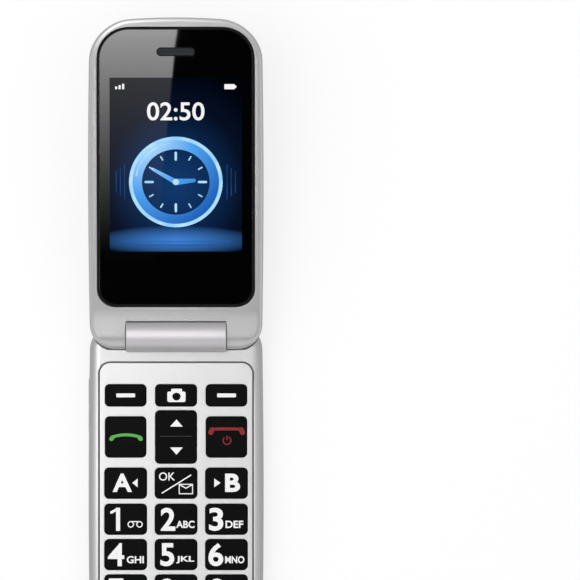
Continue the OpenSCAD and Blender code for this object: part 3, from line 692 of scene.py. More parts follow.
def break_edges(obj, width, steps=2, spare=lambda spot: False):
    """Takes the sharpness off the edges, but for those that have both ends in the spared region."""
    take(obj)
    bpy.ops.object.mode_set(mode="EDIT")
    bpy.ops.mesh.select_all(action="SELECT")
    bpy.ops.mesh.remove_doubles(threshold=0.004)
    pick(obj, "EDGE", lambda edge: abs(edge.calc_face_angle(0)) > SHARP
         and not all(spare(vertex.co) for vertex in edge.verts))
    bpy.ops.mesh.bevel(offset=width, segments=steps, affect="EDGES", clamp_overlap=False)
    return smooth(obj)


def smooth(obj):
    """Smooths the shading over small angles, and keeps large faces flat."""
    take(obj)
    bpy.ops.object.shade_smooth_by_angle(angle=math.radians(30))
    modifier = obj.modifiers.new("normals", "WEIGHTED_NORMAL")
    modifier.keep_sharp = True
    bpy.ops.object.modifier_apply(modifier=modifier.name)
    return obj


def move(obj, x=0.0, y=0.0, z=0.0):
    obj.location = (x, y, z)
    return settle(obj)


def seat(obj, half, body, slot, *nodes):
    """Brings a finished piece to its place in the phone and says what it rides on and stands for."""
    obj.matrix_world = HALVES[half]
    settle(obj)
    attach(obj, body)
    if nodes:
        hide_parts(*nodes)
    return obj


# ---- flat print ----

def flat_to(obj, thick):
    """Presses a print to that thickness, standing on z = 0."""
    low, high = corners_of(obj.bound_box)
    obj.scale.z = thick / (high.z - low.z)
    settle(obj)
    return move(obj, z=-corners_of(obj.bound_box)[0].z)


def word(text, left, bottom, right, top, bold, maker, thick):
    """Lettering that fills a box."""
    deselect()
    bpy.ops.object.text_add()
    obj = bpy.context.object
    obj.data.body = text
    obj.data.size = 10
    obj.data.offset = bold
    obj.data.extrude = 0.1
    obj.data.resolution_u = 4
    bpy.ops.object.convert(target="MESH")
    obj = bpy.context.object
    low, high = corners_of(obj.bound_box)
    grow_x = (right - left) / (high.x - low.x)
    grow_y = (top - bottom) / (high.y - low.y)
    obj.scale = (grow_x, grow_y, 1)
    obj.location = (left - low.x * grow_x, bottom - low.y * grow_y, 0)
    return paint(flat_to(settle(obj), thick), maker)


def stroke(points, radii, maker, thick, closed=False):
    """A line through (x, y) points, as wide at each as its radius says, with round ends."""
    if isinstance(radii, float):
        radii = [radii] * len(points)
    line = [(Vector(point), radius) for point, radius in zip(points, radii)]

    def round_end(end, inner):
        """Ever thinner steps beyond an end of the line."""
        point, radius = end
        way = (point - inner[0]).normalized()
        turns = [math.radians(angle) for angle in (30, 60, 85)]
        return [(point + way * radius * math.sin(turn), radius * math.cos(turn)) for turn in turns]

    if not closed:
        line = round_end(line[0], line[1])[::-1] + line + round_end(line[-1], line[-2])
    curve = bpy.data.curves.new("stroke", "CURVE")
    curve.dimensions = "3D"
    curve.bevel_depth = 1.0
    curve.bevel_resolution = 2
    curve.use_fill_caps = True
    spline = curve.splines.new("POLY")
    spline.points.add(len(line) - 1)
    spline.use_cyclic_u = closed
    for knot, (point, radius) in zip(spline.points, line):
        knot.co = (point.x, point.y, 0, 1)
        knot.radius = radius
    obj = bpy.data.objects.new("stroke", curve)
    bpy.context.collection.objects.link(obj)
    take(obj)
    bpy.ops.object.convert(target="MESH")
    return paint(flat_to(bpy.context.object, thick), maker)


def arc(x, y, radius, angles):
    """The points of a circle round (x, y) at those angles, in degrees."""
    turns = [math.radians(angle) for angle in angles]
    return [(x + radius * math.cos(turn), y + radius * math.sin(turn)) for turn in turns]


def circle(x, y, radius, steps):
    return arc(x, y, radius, [360 * step / steps for step in range(steps)])


def patch(low, high, corner, maker, thick):
    """A flat rounded patch between two (x, y) corners."""
    return paint(plate("patch", (*low, 0), (*high, thick), corner, steps=5), maker)


def triangle(x, y, wide, tall, turn, maker, thick):
    """A triangle that points up before it is turned, in degrees."""
    deselect()
    bpy.ops.mesh.primitive_cylinder_add(vertices=3, radius=1, depth=thick, location=(0, 0, thick / 2))
    obj = settle(bpy.context.object)
    low, high = corners_of(obj.bound_box)
    obj.scale = (wide / (high.x - low.x), tall / (high.y - low.y), 1)
    settle(obj)
    move(obj, y=-corners_of(obj.bound_box)[0].y - tall / 2)
    obj.rotation_euler.z = math.radians(turn)
    settle(obj)
    return paint(move(obj, x, y), maker)


def handset(x0, x1, top, sag, end_drop, thin, thick_end, maker, thick):
    """A telephone receiver lying on its back: a bowed grip with a deep end at each side."""
    half = (x1 - x0) / 2
    middle = (x0 + x1) / 2
    grip = [(middle + half * t * 0.86, top - thin - sag * t * t) for t in [i / 8 - 1 for i in range(17)]]
    parts = [stroke(grip, thin, maker, thick)]
    for side in (-1, 1):
        x = middle + side * (half - thick_end)
        y = top - thin - sag
        parts.append(stroke([(x - side * thick_end * 0.5, y - 0.1), (x, y - end_drop)], thick_end,
                            maker, thick))
    return join("handset", parts)


# ---- the lid ----

def lid_side_view():
    """A bar with the lid's side view: ears round the axis, then an easy fall to the flat outside."""
    deep = -cover_low.z - EAR_RADIUS
    ear = arc(0, 0, EAR_RADIUS, range(180, 271, 6))
    fall = [(LID_BLEND * t, -EAR_RADIUS - deep * t ** 3 * (10 - 15 * t + 6 * t * t))
            for t in [i / 24 for i in range(1, 25)]]
    box = [(TIP + 5, cover_low.z), (TIP + 5, 5), (-EAR_RADIUS, 5)]
    return prism("side_view", ear + fall + box, WIDTH)


def lid_notch():
    return block("notch", (-NOTCH_X, -10, -10), (NOTCH_X, NOTCH_Y, 10))


def chin_height(y):
    """Height of the lid's inside face at y."""
    if y >= CHIN_Y:
        return LID_FACE
    bend = (CHIN_Y - CREST_Y) / 2
    slope = (CREST - LID_FACE) / (1.5 * bend)
    if y >= CHIN_Y - bend:
        return LID_FACE + slope * (CHIN_Y - y) ** 2 / (2 * bend)
    if y >= CREST_Y:
        return CREST - slope * (y - CREST_Y)
    fall = min(1.0, (CREST_Y - y) / (CREST_Y + EAR_RADIUS))
    return CREST - END_FALL * (1 - math.sqrt(1 - fall * fall))


def border(name, low, high, corners, width, sunk, maker):
    """The dark filling of the gap round a plate, sunk below the plate's face."""
    obj = plate(name, low, (high.x, high.y, high.z - sunk), corners, steps=14)
    step = Vector((width - 0.05, width - 0.05, -1))
    room = plate("room", low + step, high - step, [corner - step.x for corner in corners], steps=14)
    return paint(carve(obj, room), maker)


def lid_shell():
    """Matt outside of the lid"""
    size = sizes()
    shell = half_plate("lid_shell", cover_low.z, rim_low.z, rows=[0.5, 3, 5.5, 11, 14])
    soften(shell, size["lid_inset"], size["lid_drop"], facing=-1, steps=12)
    carve(shell, lid_side_view(), operation="INTERSECT")
    hollow = half_plate("hollow", cover_low.z + WALL, rim_low.z + 1, inset=WALL)
    soften(hollow, size["lid_inset"] - WALL, size["lid_drop"] - WALL, facing=-1)
    front = block("front", (-WIDTH, 12, -20), (WIDTH, 2 * TIP, 20))
    carve(hollow, front, operation="INTERSECT")
    lens_low, lens_high = measure("camera_lens", "lid")
    lens_y = (lens_low.y + lens_high.y) / 2
    play = 0.05
    x, half = lamps_high.x + play, LAMP_WIDTH / 2 + play
    slots = [plate("slot", (-x, y - half, cover_low.z - 1), (x, y + half, 0), 0.5, steps=5)
             for y in LAMP_ROWS]
    carve(shell, lid_notch(), hollow,
          rod("lens_hole", (0, lens_y, cover_low.z - 1), (0, lens_y, 0), lens_high.x + play, 64),
          join("slots", slots), inlay_form("inlay_slot", play, cover_low.z - 1, cover_low.z + 0.42))
    break_edges(shell, size["seam"])
    seat(paint(shell, shell_plastic), "lid", "lid", "dark_shell", "lid_outer_cover")


def inlay_form(name, play, z0, z1):
    """The strip on the lid's outside, tapered to its ends."""
    low, high = measure("accent_strip", "lid")
    obj = block(name, *grown(low, high, play, z0, z1))
    reach = high.x + play
    cut_rows(obj, "x", [side * share * reach for share in (0.8, 0.86, 0.9, 0.93, 0.96, 0.98)
                        for side in (-1, 1)])
    middle = (low.y + high.y) / 2

    def taper(point):
        share = abs(point.x) / reach
        point.y = middle + (point.y - middle) * (1 - 0.6 * share ** 24)
        return point

    return shape(obj, taper)


def accent_inlay():
    """Bright strip across the lid"""
    low, high = measure("accent_strip", "lid")
    strip = inlay_form("accent_inlay", 0.0, low.z, high.z)
    break_edges(strip, 0.14, steps=3)
    seat(paint(strip, inlay_metal), "lid", "lid", "accent_metal", "accent_strip")


def lid_rim():
    """Silver inside frame of the lid with its ears"""
    size = sizes()
    rim = half_plate("lid_rim", rim_low.z, LID_FACE)
    soften(rim, size["rim_inset"], size["rim_drop"], steps=8)
    cut_rows(rim, "y", CHIN_ROWS)

    def raise_chin(point):
        if point.z > LID_FACE - size["rim_drop"] - NEAR:
            point.z += chin_height(point.y) - LID_FACE
        return point

    shape(rim, raise_chin)
    play = 0.05
    recess = plate("recess", *grown(glass_low, glass_high, 2 * play, glass_low.z - play, 10),
                   GLASS_CORNERS, steps=14)
    opening = plate("opening", *grown(glass_low, glass_high, -GLASS_LEDGE, -10, 5),
                    (GLASS_CORNERS[0] + GLASS_LEDGE, GLASS_CORNERS[1] + 1), steps=10)
    carve(rim, lid_side_view(), operation="INTERSECT")
    pin_radius = 1.2
    pin_x = sleeve_high.x + EAR_GAP + 5.3
    carve(rim, lid_notch(), recess, opening, rod("bores", (-pin_x, 0, 0), (pin_x, 0, 0), pin_radius, 24))

    def tip_corner(spot):
        return abs(spot.x) > 10 and spot.y > TIP - 14 and spot.z > rim_low.z + 1

    break_edges(rim, size["seam"], spare=tip_corner)
    lip = size["notch_lip"]
    lip_y, lip_z = NOTCH_Y + lip, chin_height(NOTCH_Y + lip) - 0.15 * lip
    bead = rod("bead", (-NOTCH_X, lip_y, lip_z), (NOTCH_X, lip_y, lip_z), lip, 20)
    rim = join("lid_rim", [rim, smooth(bead)])
    seat(paint(rim, rim_paint), "lid", "lid", "silver_paint", "lid_inner_frame")


def window_glass():
    """Black glass over the display"""
    gap = Vector((GLASS_GAP, GLASS_GAP, 0))
    glass = plate("window_glass", glass_low + gap, glass_high - gap,
                  [corner - GLASS_GAP for corner in GLASS_CORNERS], steps=14)
    low, high = measure("earpiece_grille", "lid")
    carve(glass, plate("slot", *grown(low, high, 0.1, -5, 5), 1.1, steps=6))
    break_edges(glass, sizes()["glass_edge"], steps=3)
    paint(glass, window_black)
    # The black filling of the gap round the glass is painted shade.
    seal = border("seal", glass_low, glass_high, GLASS_CORNERS, GLASS_GAP, 0.15, seal_black)
    seat(join("window_glass", [glass, seal]), "lid", "lid", "screen_glass", "display_glass")


def earpiece_trim():
    """Slotted trim of the earpiece"""
    low, high = measure("earpiece_grille", "lid")
    trim = plate("earpiece_trim", low, high, 1.0, steps=6)
    pick(trim, "FACE", lambda face: face.normal.z > 0.9)
    bpy.ops.mesh.inset(thickness=0.28)
    bpy.ops.transform.translate(value=(0, 0, -0.25))
    middle = (low.y + high.y) / 2
    slots = [plate("slot", (x - 0.27, middle - 0.5, -5), (x + 0.27, middle + 0.5, 5), 0.22, steps=4)
             for x in [0.85 * i for i in range(-5, 6)]]
    carve(trim, join("slots", slots))
    break_edges(trim, 0.05)
    seat(paint(trim, grille_plastic), "lid", "lid", "mesh", "earpiece_grille")


def picture_box():
    """(lowest corner, highest corner) of the lit picture, within the display's border."""
    low, high = measure("display_module", "lid")
    border = Vector((1.5, 2.4, 0))
    return low + border, high - border


def screen_picture():
    """A plain clock picture: digits, a round clock face with hands, and a lit floor."""
    low, high = picture_box()
    thick = 0.02
    z = glass_high.z
    clock_y = low.y + 20.5
    radius = 12.2
    ground = paint(block("ground", (low.x, low.y, 0), (high.x, high.y, thick)), picture_night)

    def towards(hour, reach):
        """The point at that distance from the clock's middle, in the direction of the hour."""
        turn = math.tau * hour / 12
        return reach * math.sin(turn), clock_y + reach * math.cos(turn)

    layer_1 = [patch((low.x + x, high.y - 3.4), (low.x + x + 0.6, high.y - fall), 0.08, picture_white, thick)
               for x, fall in ((1.6, 2.6), (2.6, 2.2), (3.6, 1.8))]
    layer_1 += [
        stroke(circle(0, clock_y, radius + 0.6, 72), 0.55, picture_pale, thick, closed=True),
        patch((high.x - 5.0, high.y - 3.4), (high.x - 2.0, high.y - 1.9), 0.2, picture_white, thick),
        patch((high.x - 2.0, high.y - 3.0), (high.x - 1.6, high.y - 2.3), 0.08, picture_white, thick),
        word("02:50", -8.2, high.y - 12.6, 8.2, high.y - 7.2, 0.12, picture_white, thick),
        stroke([(-15.5, low.y + 3.0), (15.5, low.y + 3.0)], 0.1, picture_blue, thick),
        stroke([(-11.0, low.y + 1.9), (11.0, low.y + 1.9)], 0.08, picture_dim, thick),
    ]
    for side in (-1, 1):
        for step in range(3):
            x = side * (14.6 + 1.2 * step)
            layer_1.append(stroke([(x, clock_y - 5 + step), (x, clock_y + 5 - step)], 0.14,
                                  picture_dim, thick))
    layer_2 = [stroke(circle(0, clock_y, radius - 1.2, 72), 1.35, picture_blue, thick, closed=True)]
    for hour in range(12):
        fall, half_width = (5.6, 0.34) if hour % 3 == 0 else (4.7, 0.2)
        ends = [towards(hour, radius - fall), towards(hour, radius - 3.6)]
        layer_2.append(stroke(ends, half_width, picture_pale, thick))
    for hour, reach, half_width in ((85 / 30, 5.2, 0.95), (10, 7.6, 0.75)):
        layer_2.append(stroke([(0, clock_y), towards(hour, reach)], [half_width, half_width * 0.55],
                              picture_blue, thick))
    layer_3 = [stroke([(0, clock_y), (0.01, clock_y)], 0.9, picture_pale, thick),
               stroke(arc(0, clock_y, radius - 0.75, range(100, 171, 7)), 0.2, picture_pale, thick)]
    parts = [move(ground, z=z)]
    for step, layer in enumerate((layer_1, layer_2, layer_3), 1):
        parts += [move(drawn, z=z + step * thick / 2) for drawn in layer]
    seat(join("screen_picture", parts), "lid", "lid", "display")


def camera_window():
    """A black domed window with a thin ring round it and a small eye behind."""
    low, high = measure("camera_lens", "lid")
    middle = Vector((0, (low.y + high.y) / 2))
    lens = rod("camera_window", (*middle, low.z), (*middle, high.z), high.x, 72)
    dome_reach = high.x - 0.3
    for step in [0.3] + [dome_reach / 7] * 6:
        pick(lens, "FACE", lambda face: face.normal.z < -0.9 and len(face.verts) > 4)
        bpy.ops.mesh.inset(thickness=step)
    deselect()

    def dome(point):
        reach = (point.xy - middle).length
        if point.z < low.z + NEAR:
            point.z += 0.2 * min(1.0, reach / dome_reach) ** 2
        return point

    shape(lens, dome)
    break_edges(lens, 0.07)
    paint(lens, lens_ring)
    lens.data.materials.append(finish(lens_black))
    for polygon in lens.data.polygons:
        if polygon.normal.z < -0.9 and (polygon.center.xy - middle).length < dome_reach:
            polygon.material_index = 1
    deselect()
    # Small pale eye on the dome: partly the inner lens, partly a painted glint.
    bpy.ops.mesh.primitive_uv_sphere_add(segments=20, ring_count=10, radius=0.2)
    eye = bpy.context.object
    eye.scale.z = 0.3
    eye.location = (-0.3, middle.y - 0.3, low.z + 0.02)
    settle(eye)
    smooth(paint(eye, lens_eye))
    lens = join("camera_window", [lens, eye])
    seat(lens, "lid", "lid", "lens_glass", "camera_lens")


def status_lamps():
    """Light bars with their signs"""
    half = LAMP_WIDTH / 2
    low, high = lamps_low, lamps_high
    lamps = [plate("lamp", (low.x, y - half, low.z), (high.x, y + half, high.z), 0.45, steps=5)
             for y in LAMP_ROWS]
    for lamp in lamps:
        soften(lamp, 0.16, 0.12, facing=-1, steps=3)
    lamps = smooth(join("status_lamps", lamps))
    seat(paint(lamps, lamp_plastic), "lid", "lid", "light_bar", "status_lights")


def lamp_signs():
    """A small handset and a small cell beside the status lights, seen from the lid's outside."""
    first, second = LAMP_ROWS
    x = lamps_high.x + 1.95
    thick = 0.03
    arch = handset(-1.0, 1.0, 0.35, 0.3, 0.2, 0.15, 0.27, sign_print, thick)
    arch.rotation_euler.z = math.pi
    signs = [move(settle(arch), x, first, 0),
             patch((x - 0.95, second - 0.5), (x + 0.8, second + 0.5), 0.2, sign_print, thick),
             patch((x + 0.8, second - 0.22), (x + 1.05, second + 0.22), 0.05, sign_print, thick)]
    signs = move(join("lamp_signs", signs), z=cover_low.z - thick / 2)
    seat(signs, "lid", "lid", "light_bar")


# ---- the hinge ----

def hinge_sleeve():
    """Turned sleeve of the hinge"""
    radius = sleeve_high.y
    sleeve = rod("hinge_sleeve", (sleeve_low.x, 0, AXIS_Z), (sleeve_high.x, 0, AXIS_Z), radius, 96)
    pick(sleeve, "FACE", lambda face: abs(face.normal.x) > 0.9)
    bpy.ops.mesh.inset(thickness=radius - SLEEVE_BORE, use_individual=True)
    bpy.ops.mesh.bridge_edge_loops()

    def outer_end(edge):
        return all(abs(vertex.co.x) > sleeve_high.x - NEAR
                   and (vertex.co.yz - Vector((0, AXIS_Z))).length > radius - 0.1 for vertex in edge.verts)

    smooth(round_edges(sleeve, outer_end, sizes()["sleeve_edge"], 4))
    seat(paint(sleeve, turned_metal), "base", "base", "barrel_metal", "hinge_barrel")


# ---- the base ----

def base_rim():
    """Silver front half of the base"""
    size = sizes()
    top = base_high.z
    foot = base_low.z
    rim = half_plate("base_rim", foot, top, half="base")
    soften(rim, size["base_inset"], size["base_drop"], steps=9)
    ledge_z = panel_low.z - PANEL_SHELF
    low_hollow = half_plate("low_hollow", foot - 1, TROUGH_FLOOR, inset=WALL, half="base")
    high_hollow = half_plate("high_hollow", foot - 1, ledge_z, inset=WALL, half="base")
    carve(high_hollow, block("front", (-WIDTH, -2 * TIP, -5), (WIDTH, HOLLOW_Y, 20)),
          operation="INTERSECT")
    play = 0.05
    recess = plate("recess", *grown(panel_low, panel_high, play, panel_low.z - play, top + 5),
                   PANEL_CORNERS, steps=12)
    opening = plate("opening", (panel_low.x + PANEL_SEAT, panel_low.y + PANEL_SEAT, 0),
                    (panel_high.x - PANEL_SEAT, panel_high.y - PANEL_SEAT - 0.3, top + 4),
                    (PANEL_CORNERS[0] - 1, PANEL_CORNERS[1] - 1), steps=8)
    trough = rod("trough", (-WIDTH, 0, AXIS_Z), (WIDTH, 0, AXIS_Z), TROUGH_RADIUS, 96)
    ear_side = WIDTH / 2 * (1 - SIDE_BOW) + EAR_GAP
    ears = plate("ears", (-ear_side, -TROUGH_RADIUS - 0.01, 0), (ear_side, WIDTH, 2 * AXIS_Z),
                 (HINGE_CORNER + EAR_GAP, 1), steps=14)
    carve(trough, ears, operation="INTERSECT")
    seat_room = rod("seat_room", (sleeve_low.x, 0, AXIS_Z), (sleeve_high.x, 0, AXIS_Z),
                    sleeve_high.y + SLEEVE_SEAT, 96)
    carve(rim, low_hollow, high_hollow, recess, opening, trough, seat_room)
    ear_floor = AXIS_Z - TROUGH_RADIUS + 0.05
    for side in (-1, 1):
        x = sorted((side * sleeve_high.x, side * WIDTH))
        carve(rim, block("ear_room", (x[0], 0, ear_floor), (x[1], 20, top + 5)))
    usb_low, usb_high = measure("usb_socket", "base")
    contact_low, contact_high = measure("charge_contacts", "base")
    rocker_low, rocker_high = measure("volume_rocker", "base")
    break_edges(rim, size["seam"], spare=lambda spot: abs(spot.x) > SHOULDER_X and spot.y > -sleeve_high.y)
    port = plate("port", (usb_low.x - play, -2 * TIP, usb_low.z - play),
                 (usb_high.x + play, usb_high.y, usb_high.z + play), 0.01, steps=1)
    contacts = [block("contact", (x - play, -2 * TIP, contact_low.z - play),
                      (x + CONTACT_WIDTH + play, contact_high.y + 1, contact_high.z + play))
                for x in (-contact_high.x, contact_high.x - CONTACT_WIDTH)]
    shrink = ROCKER_LIP - ROCKER_PLAY
    slot = block("slot", (-WIDTH, rocker_low.y + shrink, ROCKER_SLOT[0]),
                 (-WIDTH / 2 + WALL + 1, rocker_high.y - shrink, ROCKER_SLOT[1]))
    smooth(carve(rim, port, *contacts, slot))
    seat(paint(rim, rim_paint), "base", "base", "silver_paint", "base_front_frame")


def keypad_plate():
    """Plate round the keys"""
    groove = Vector((PANEL_GROOVE, PANEL_GROOVE, 0))
    panel = plate("keypad_plate", panel_low + groove, panel_high - groove,
                  [corner - PANEL_GROOVE for corner in PANEL_CORNERS], steps=12)
    holes = [plate("hole", *grown(*key_outline(key), KEY_GAP, -5, 20), KEY_CORNER + KEY_GAP, steps=6)
             for key in PUSH_KEYS]
    carve(panel, join("holes", holes))
    middles = [sum(key_outline(key), Vector()) / 2 for key in PUSH_KEYS]
    cut_rows(panel, "x", {round(middle.x, 2) for middle in middles})
    cut_rows(panel, "y", {round(middle.y, 2) for middle in middles})
    break_edges(panel, sizes()["seam"], spare=lambda spot: abs(spot.x) > 15 and spot.y < panel_low.y + 7)
    paint(panel, panel_paint)
    # The grey filling of the groove round the plate is painted shade.
    seal = border("seal", panel_low, panel_high, PANEL_CORNERS, PANEL_GROOVE, 0.3, seal_grey)
    seat(join("keypad_plate", [panel, seal]), "base", "base", "panel_silver", "keypad_panel")


def key_outline(key):
    """(lowest corner, highest corner) of a key's cap, without its flange or its pivot bar."""
    low, high = measure(key, "base")
    margin = Vector((2 * FLANGE, 0, 0)) if key == "key_navigate" else Vector((FLANGE, FLANGE, 0))
    return low + margin, high - margin


def mark(make, *values, ink=legend_print, lift=0.0, **more):
    """A recipe for one mark of a key; its lift is measured in thicknesses of the print."""
    return lambda thick: move(make(*values, ink, thick, **more), z=lift * thick)


def figure(digit, left, right, *letters):
    """A big figure at the left of the key and its letters at the right, with their left and right ends."""
    marks = [mark(word, digit, left, -3.3, right, 3.3, 0.14 if digit == "4" else 0.25)]
    if letters:
        text, left, right = letters
        marks.append(mark(word, text, left, -2.5, right, -0.4, 0.26))
    return marks


# The print of the keys, in millimetres round each key's middle.
MARKS = {
    "key_soft_left": [mark(patch, (-2.7, -0.55), (2.7, 0.55), 0.25)],
    "key_soft_right": [mark(patch, (-2.7, -0.55), (2.7, 0.55), 0.25)],
    "key_camera": [mark(patch, (-2.5, -1.9), (2.7, 1.1), 0.5),
                   mark(patch, (-1.4, 0.4), (1.7, 1.9), 0.3, lift=0.2),
                   mark(stroke, [(0.1, -0.3), (0.11, -0.3)], 1.2, ink=key_plastic, lift=0.6)],
    "key_call": [mark(handset, -4.7, 4.9, 1.05, 0.7, 0.45, 0.42, 0.62, ink=call_print)],
    "key_end": [mark(handset, -5.2, 5.3, 2.75, 0.15, 0.9, 0.42, 0.72, ink=end_print),
                mark(stroke, arc(0.15, -1.0, 1.1, range(52, -233, -16)), 0.17, ink=end_print),
                mark(stroke, [(0.15, -0.8), (0.15, 0.2)], 0.17, ink=end_print)],
    "key_navigate": [mark(triangle, 0.1, 4.0, 3.6, 2.05, 0), mark(triangle, 0.1, -4.0, 3.6, 2.05, 180),
                     # The grey line above the groove is a painted highlight of its edge.
                     mark(patch, (-4.6, 0.16), (4.6, 0.28), 0.03, ink=seam_print)],
    "key_ok": [mark(word, "OK", -4.9, 0.75, -0.3, 3.1, 0.06),
               mark(stroke, [(-4.0, -2.8), (4.2, 2.3)], 0.17),
               mark(stroke, [(0.9, -0.3), (4.7, -0.3), (4.7, -3.0), (0.9, -3.0)], 0.19, closed=True),
               mark(stroke, [(0.95, -0.35), (2.8, -1.45), (4.65, -0.35)], 0.17)],
    "key_a": [mark(word, "A", -3.75, -2.5, 1.8, 2.75, 0.3), mark(triangle, 2.65, 0.1, 2.5, 1.55, 90)],
    "key_b": [mark(word, "B", -0.4, -2.5, 3.9, 2.75, 0.38), mark(triangle, -2.6, 0.1, 2.5, 1.8, -90)],
    "key_star": [mark(word, "*", -2.2, -2.2, 2.2, 2.4, 0.08)],
    "key_hash": [mark(word, "#", -2.4, -2.9, 2.4, 2.9, 0.15)],
    "key_1": [mark(patch, (-2.75, -3.3), (-1.6, 3.3), 0.05),
              mark(stroke, [(-4.1, 1.95), (-2.3, 2.95)], 0.36, lift=0.2),
              *[mark(stroke, circle(x, -1.45, 0.78, 20), 0.15, closed=True) for x in (1.45, 3.95)],
              mark(stroke, [(1.45, -0.67), (3.95, -0.67)], 0.15)],
    "key_0": figure("0", -4.8, -0.6),
    "key_2": figure("2", -4.4, -0.2, "ABC", 0.0, 5.3),
    "key_3": figure("3", -5.0, -0.9, "DEF", -0.3, 4.8),
    "key_4": figure("4", -5.1, -0.4, "GHI", 0.3, 5.2),
    "key_5": figure("5", -4.5, -0.5, "JKL", 0.0, 5.2),
    "key_6": figure("6", -5.2, -0.9, "MNO", -0.4, 5.1),
    "key_7": figure("7", -4.8, -0.6, "PQRS", -0.3, 5.3),
    "key_8": figure("8", -4.8, -0.6, "TUV", 0.0, 5.2),
    "key_9": figure("9", -4.8, -0.6, "WXYZ", -0.5, 5.3),
}


def key_cap(key):
    """A key with its flange, its rounded cap and its raised print."""
    size = sizes()
    low, high = key_outline(key)
    full_low, full_high = measure(key, "base")
    top = high.z - size["key_print"]
    cap = plate(f"{key}_cap", low, (high.x, high.y, top), KEY_CORNER, steps=6)
    soften(cap, size["key_edge"], size["key_edge"], steps=4)
    if key == "key_navigate":
        middle = (low.y + high.y) / 2
        carve(cap, block("groove", (-20, middle - 0.12, top - 0.12), (20, middle + 0.12, top + 1)))
        flange = block("flange", (full_low.x, middle - 2.8, low.z),
                       (full_high.x, middle + 2.8, low.z + FLANGE_TALL))
    else:
        flange = plate("flange", full_low, (full_high.x, full_high.y, low.z + FLANGE_TALL),
                       KEY_CORNER + FLANGE, steps=4)
    cap = paint(join(cap.name, [cap, flange]), key_plastic)
    centre = (low + high) / 2
    marks = [move(make(size["key_print"]), centre.x, centre.y, top) for make in MARKS[key]]
    cap = join(cap.name, [cap, *marks])
    seat(smooth(cap), "base", f"{key}_body", "key_cap", key)


def keys():
    """All keys with their print"""
    for key in PUSH_KEYS:
        key_cap(key)


def cover_room(name, play, z1):
    """The room of the sliding cover, grown by play: a wide slot over a narrower one."""
    side = -slide_low.x - COVER_LIP
    y1 = slide_high.y + play
    slot = block(name, (-side - play, -2 * TIP, -1), (side + play, y1, z1))
    lips = block("lips", (-side - COVER_LIP - play, -2 * TIP, LIP_Z + 0.1 - play),
                 (side + COVER_LIP + play, y1, z1))
    return carve(slot, lips, operation="UNION")


def back_form(name):
    form = half_plate(name, 0.0, base_low.z, half="base")
    return soften(form, BACK_EDGE, BACK_EDGE, facing=-1, steps=9)


def back_shell():
    """Matt back half of the base"""
    shell = back_form("back_shell")
    hollow = half_plate("hollow", FLOOR_Z, base_low.z + 1, inset=WALL, half="base")
    battery_low, battery_high = measure("battery", "base")
    play = 0.15
    wall = 0.8
    carve(shell, hollow)
    carve(shell, block("bay_wall", *grown(battery_low, battery_high, play + wall, slide_high.z + 0.3,
                                          battery_high.z + 0.6)), operation="UNION")
    card_low, card_high = measure("card_holder", "base")
    speaker_low, speaker_high = measure("loudspeaker", "base")
    middle = (speaker_low + speaker_high) / 2
    slots = [plate("slot", (x - 0.4, middle.y - 1.5, -1), (x + 0.4, middle.y + 2.5, FLOOR_Z + 2),
                   0.38, steps=4) for x in [middle.x + 2 * i for i in range(-3, 4)]]
    holes = [rod("hole", (x, y, -1), (x, y, z), 1.45, 32) for x, y, z in screw_places()]
    carve(shell, block("bay", *grown(battery_low, battery_high, play, -1, battery_high.z + 0.1)),
          cover_room("cover_room", COVER_PLAY, slide_high.z + COVER_PLAY))
    break_edges(shell, sizes()["seam"], spare=lambda spot: BACK_EDGE < spot.z < base_low.z - NEAR)
    carve(shell, block("card_room", *grown(card_low, card_high, -0.5, 0, base_low.z)),
          join("slots", slots), join("holes", holes))
    seat(paint(smooth(shell), shell_plastic), "base", "base", "dark_shell", "base_rear_housing")


def screw_places():
    """(x, y, height of the head's top) of the base's screws."""
    low, high = measure("base_screws", "base")
    radius = 1.4
    places = ((high.x - radius, high.y - radius, 1.35),
              (high.x - radius - 2.0, low.y + radius, slide_high.z + 1.2))
    return [(side * x, y, top) for side in (-1, 1) for x, y, top in places]


def back_screws():
    """Screws of the base"""
    _low, high = measure("base_screws", "base")
    screws = []
    for x, y, top in screw_places():
        head = rod("head", (x, y, top - 1.05), (x, y, top - 0.05), 1.38, 32)
        soften(head, 0.18, 0.18, facing=-1, steps=3)
        cross = [block("cross", (x - a, y - b, 0), (x + a, y + b, top - 0.6)) for a, b in
                 ((0.7, 0.16), (0.16, 0.7))]
        carve(head, *cross)
        shank = rod("shank", (x, y, top - 0.1), (x, y, high.z), 0.68, 24)
        screws += [head, shank]
    screws = smooth(join("back_screws", screws))
    seat(paint(screws, plain_steel), "base", "base", "steel", "base_screws")


def back_cover():
    """The sliding cover, with a thumb grip of fine ridges."""
    cover = back_form("back_cover")
    carve(cover, cover_room("room", 0.0, slide_high.z), operation="INTERSECT")
    grooves = []
    for i in range(7):
        reach = 7.5 - 0.28 * (i - 3) ** 2
        y = slide_high.y - 5.5 - 1.5 * i
        grooves.append(plate("groove", (-reach, y - 0.35, -1), (reach, y + 0.35, 0.28), 0.3, steps=4))
    break_edges(cover, sizes()["seam"])
    smooth(carve(cover, join("grooves", grooves)))
    seat(paint(cover, shell_plastic), "base", "battery_cover_body", "dark_shell", "battery_cover")


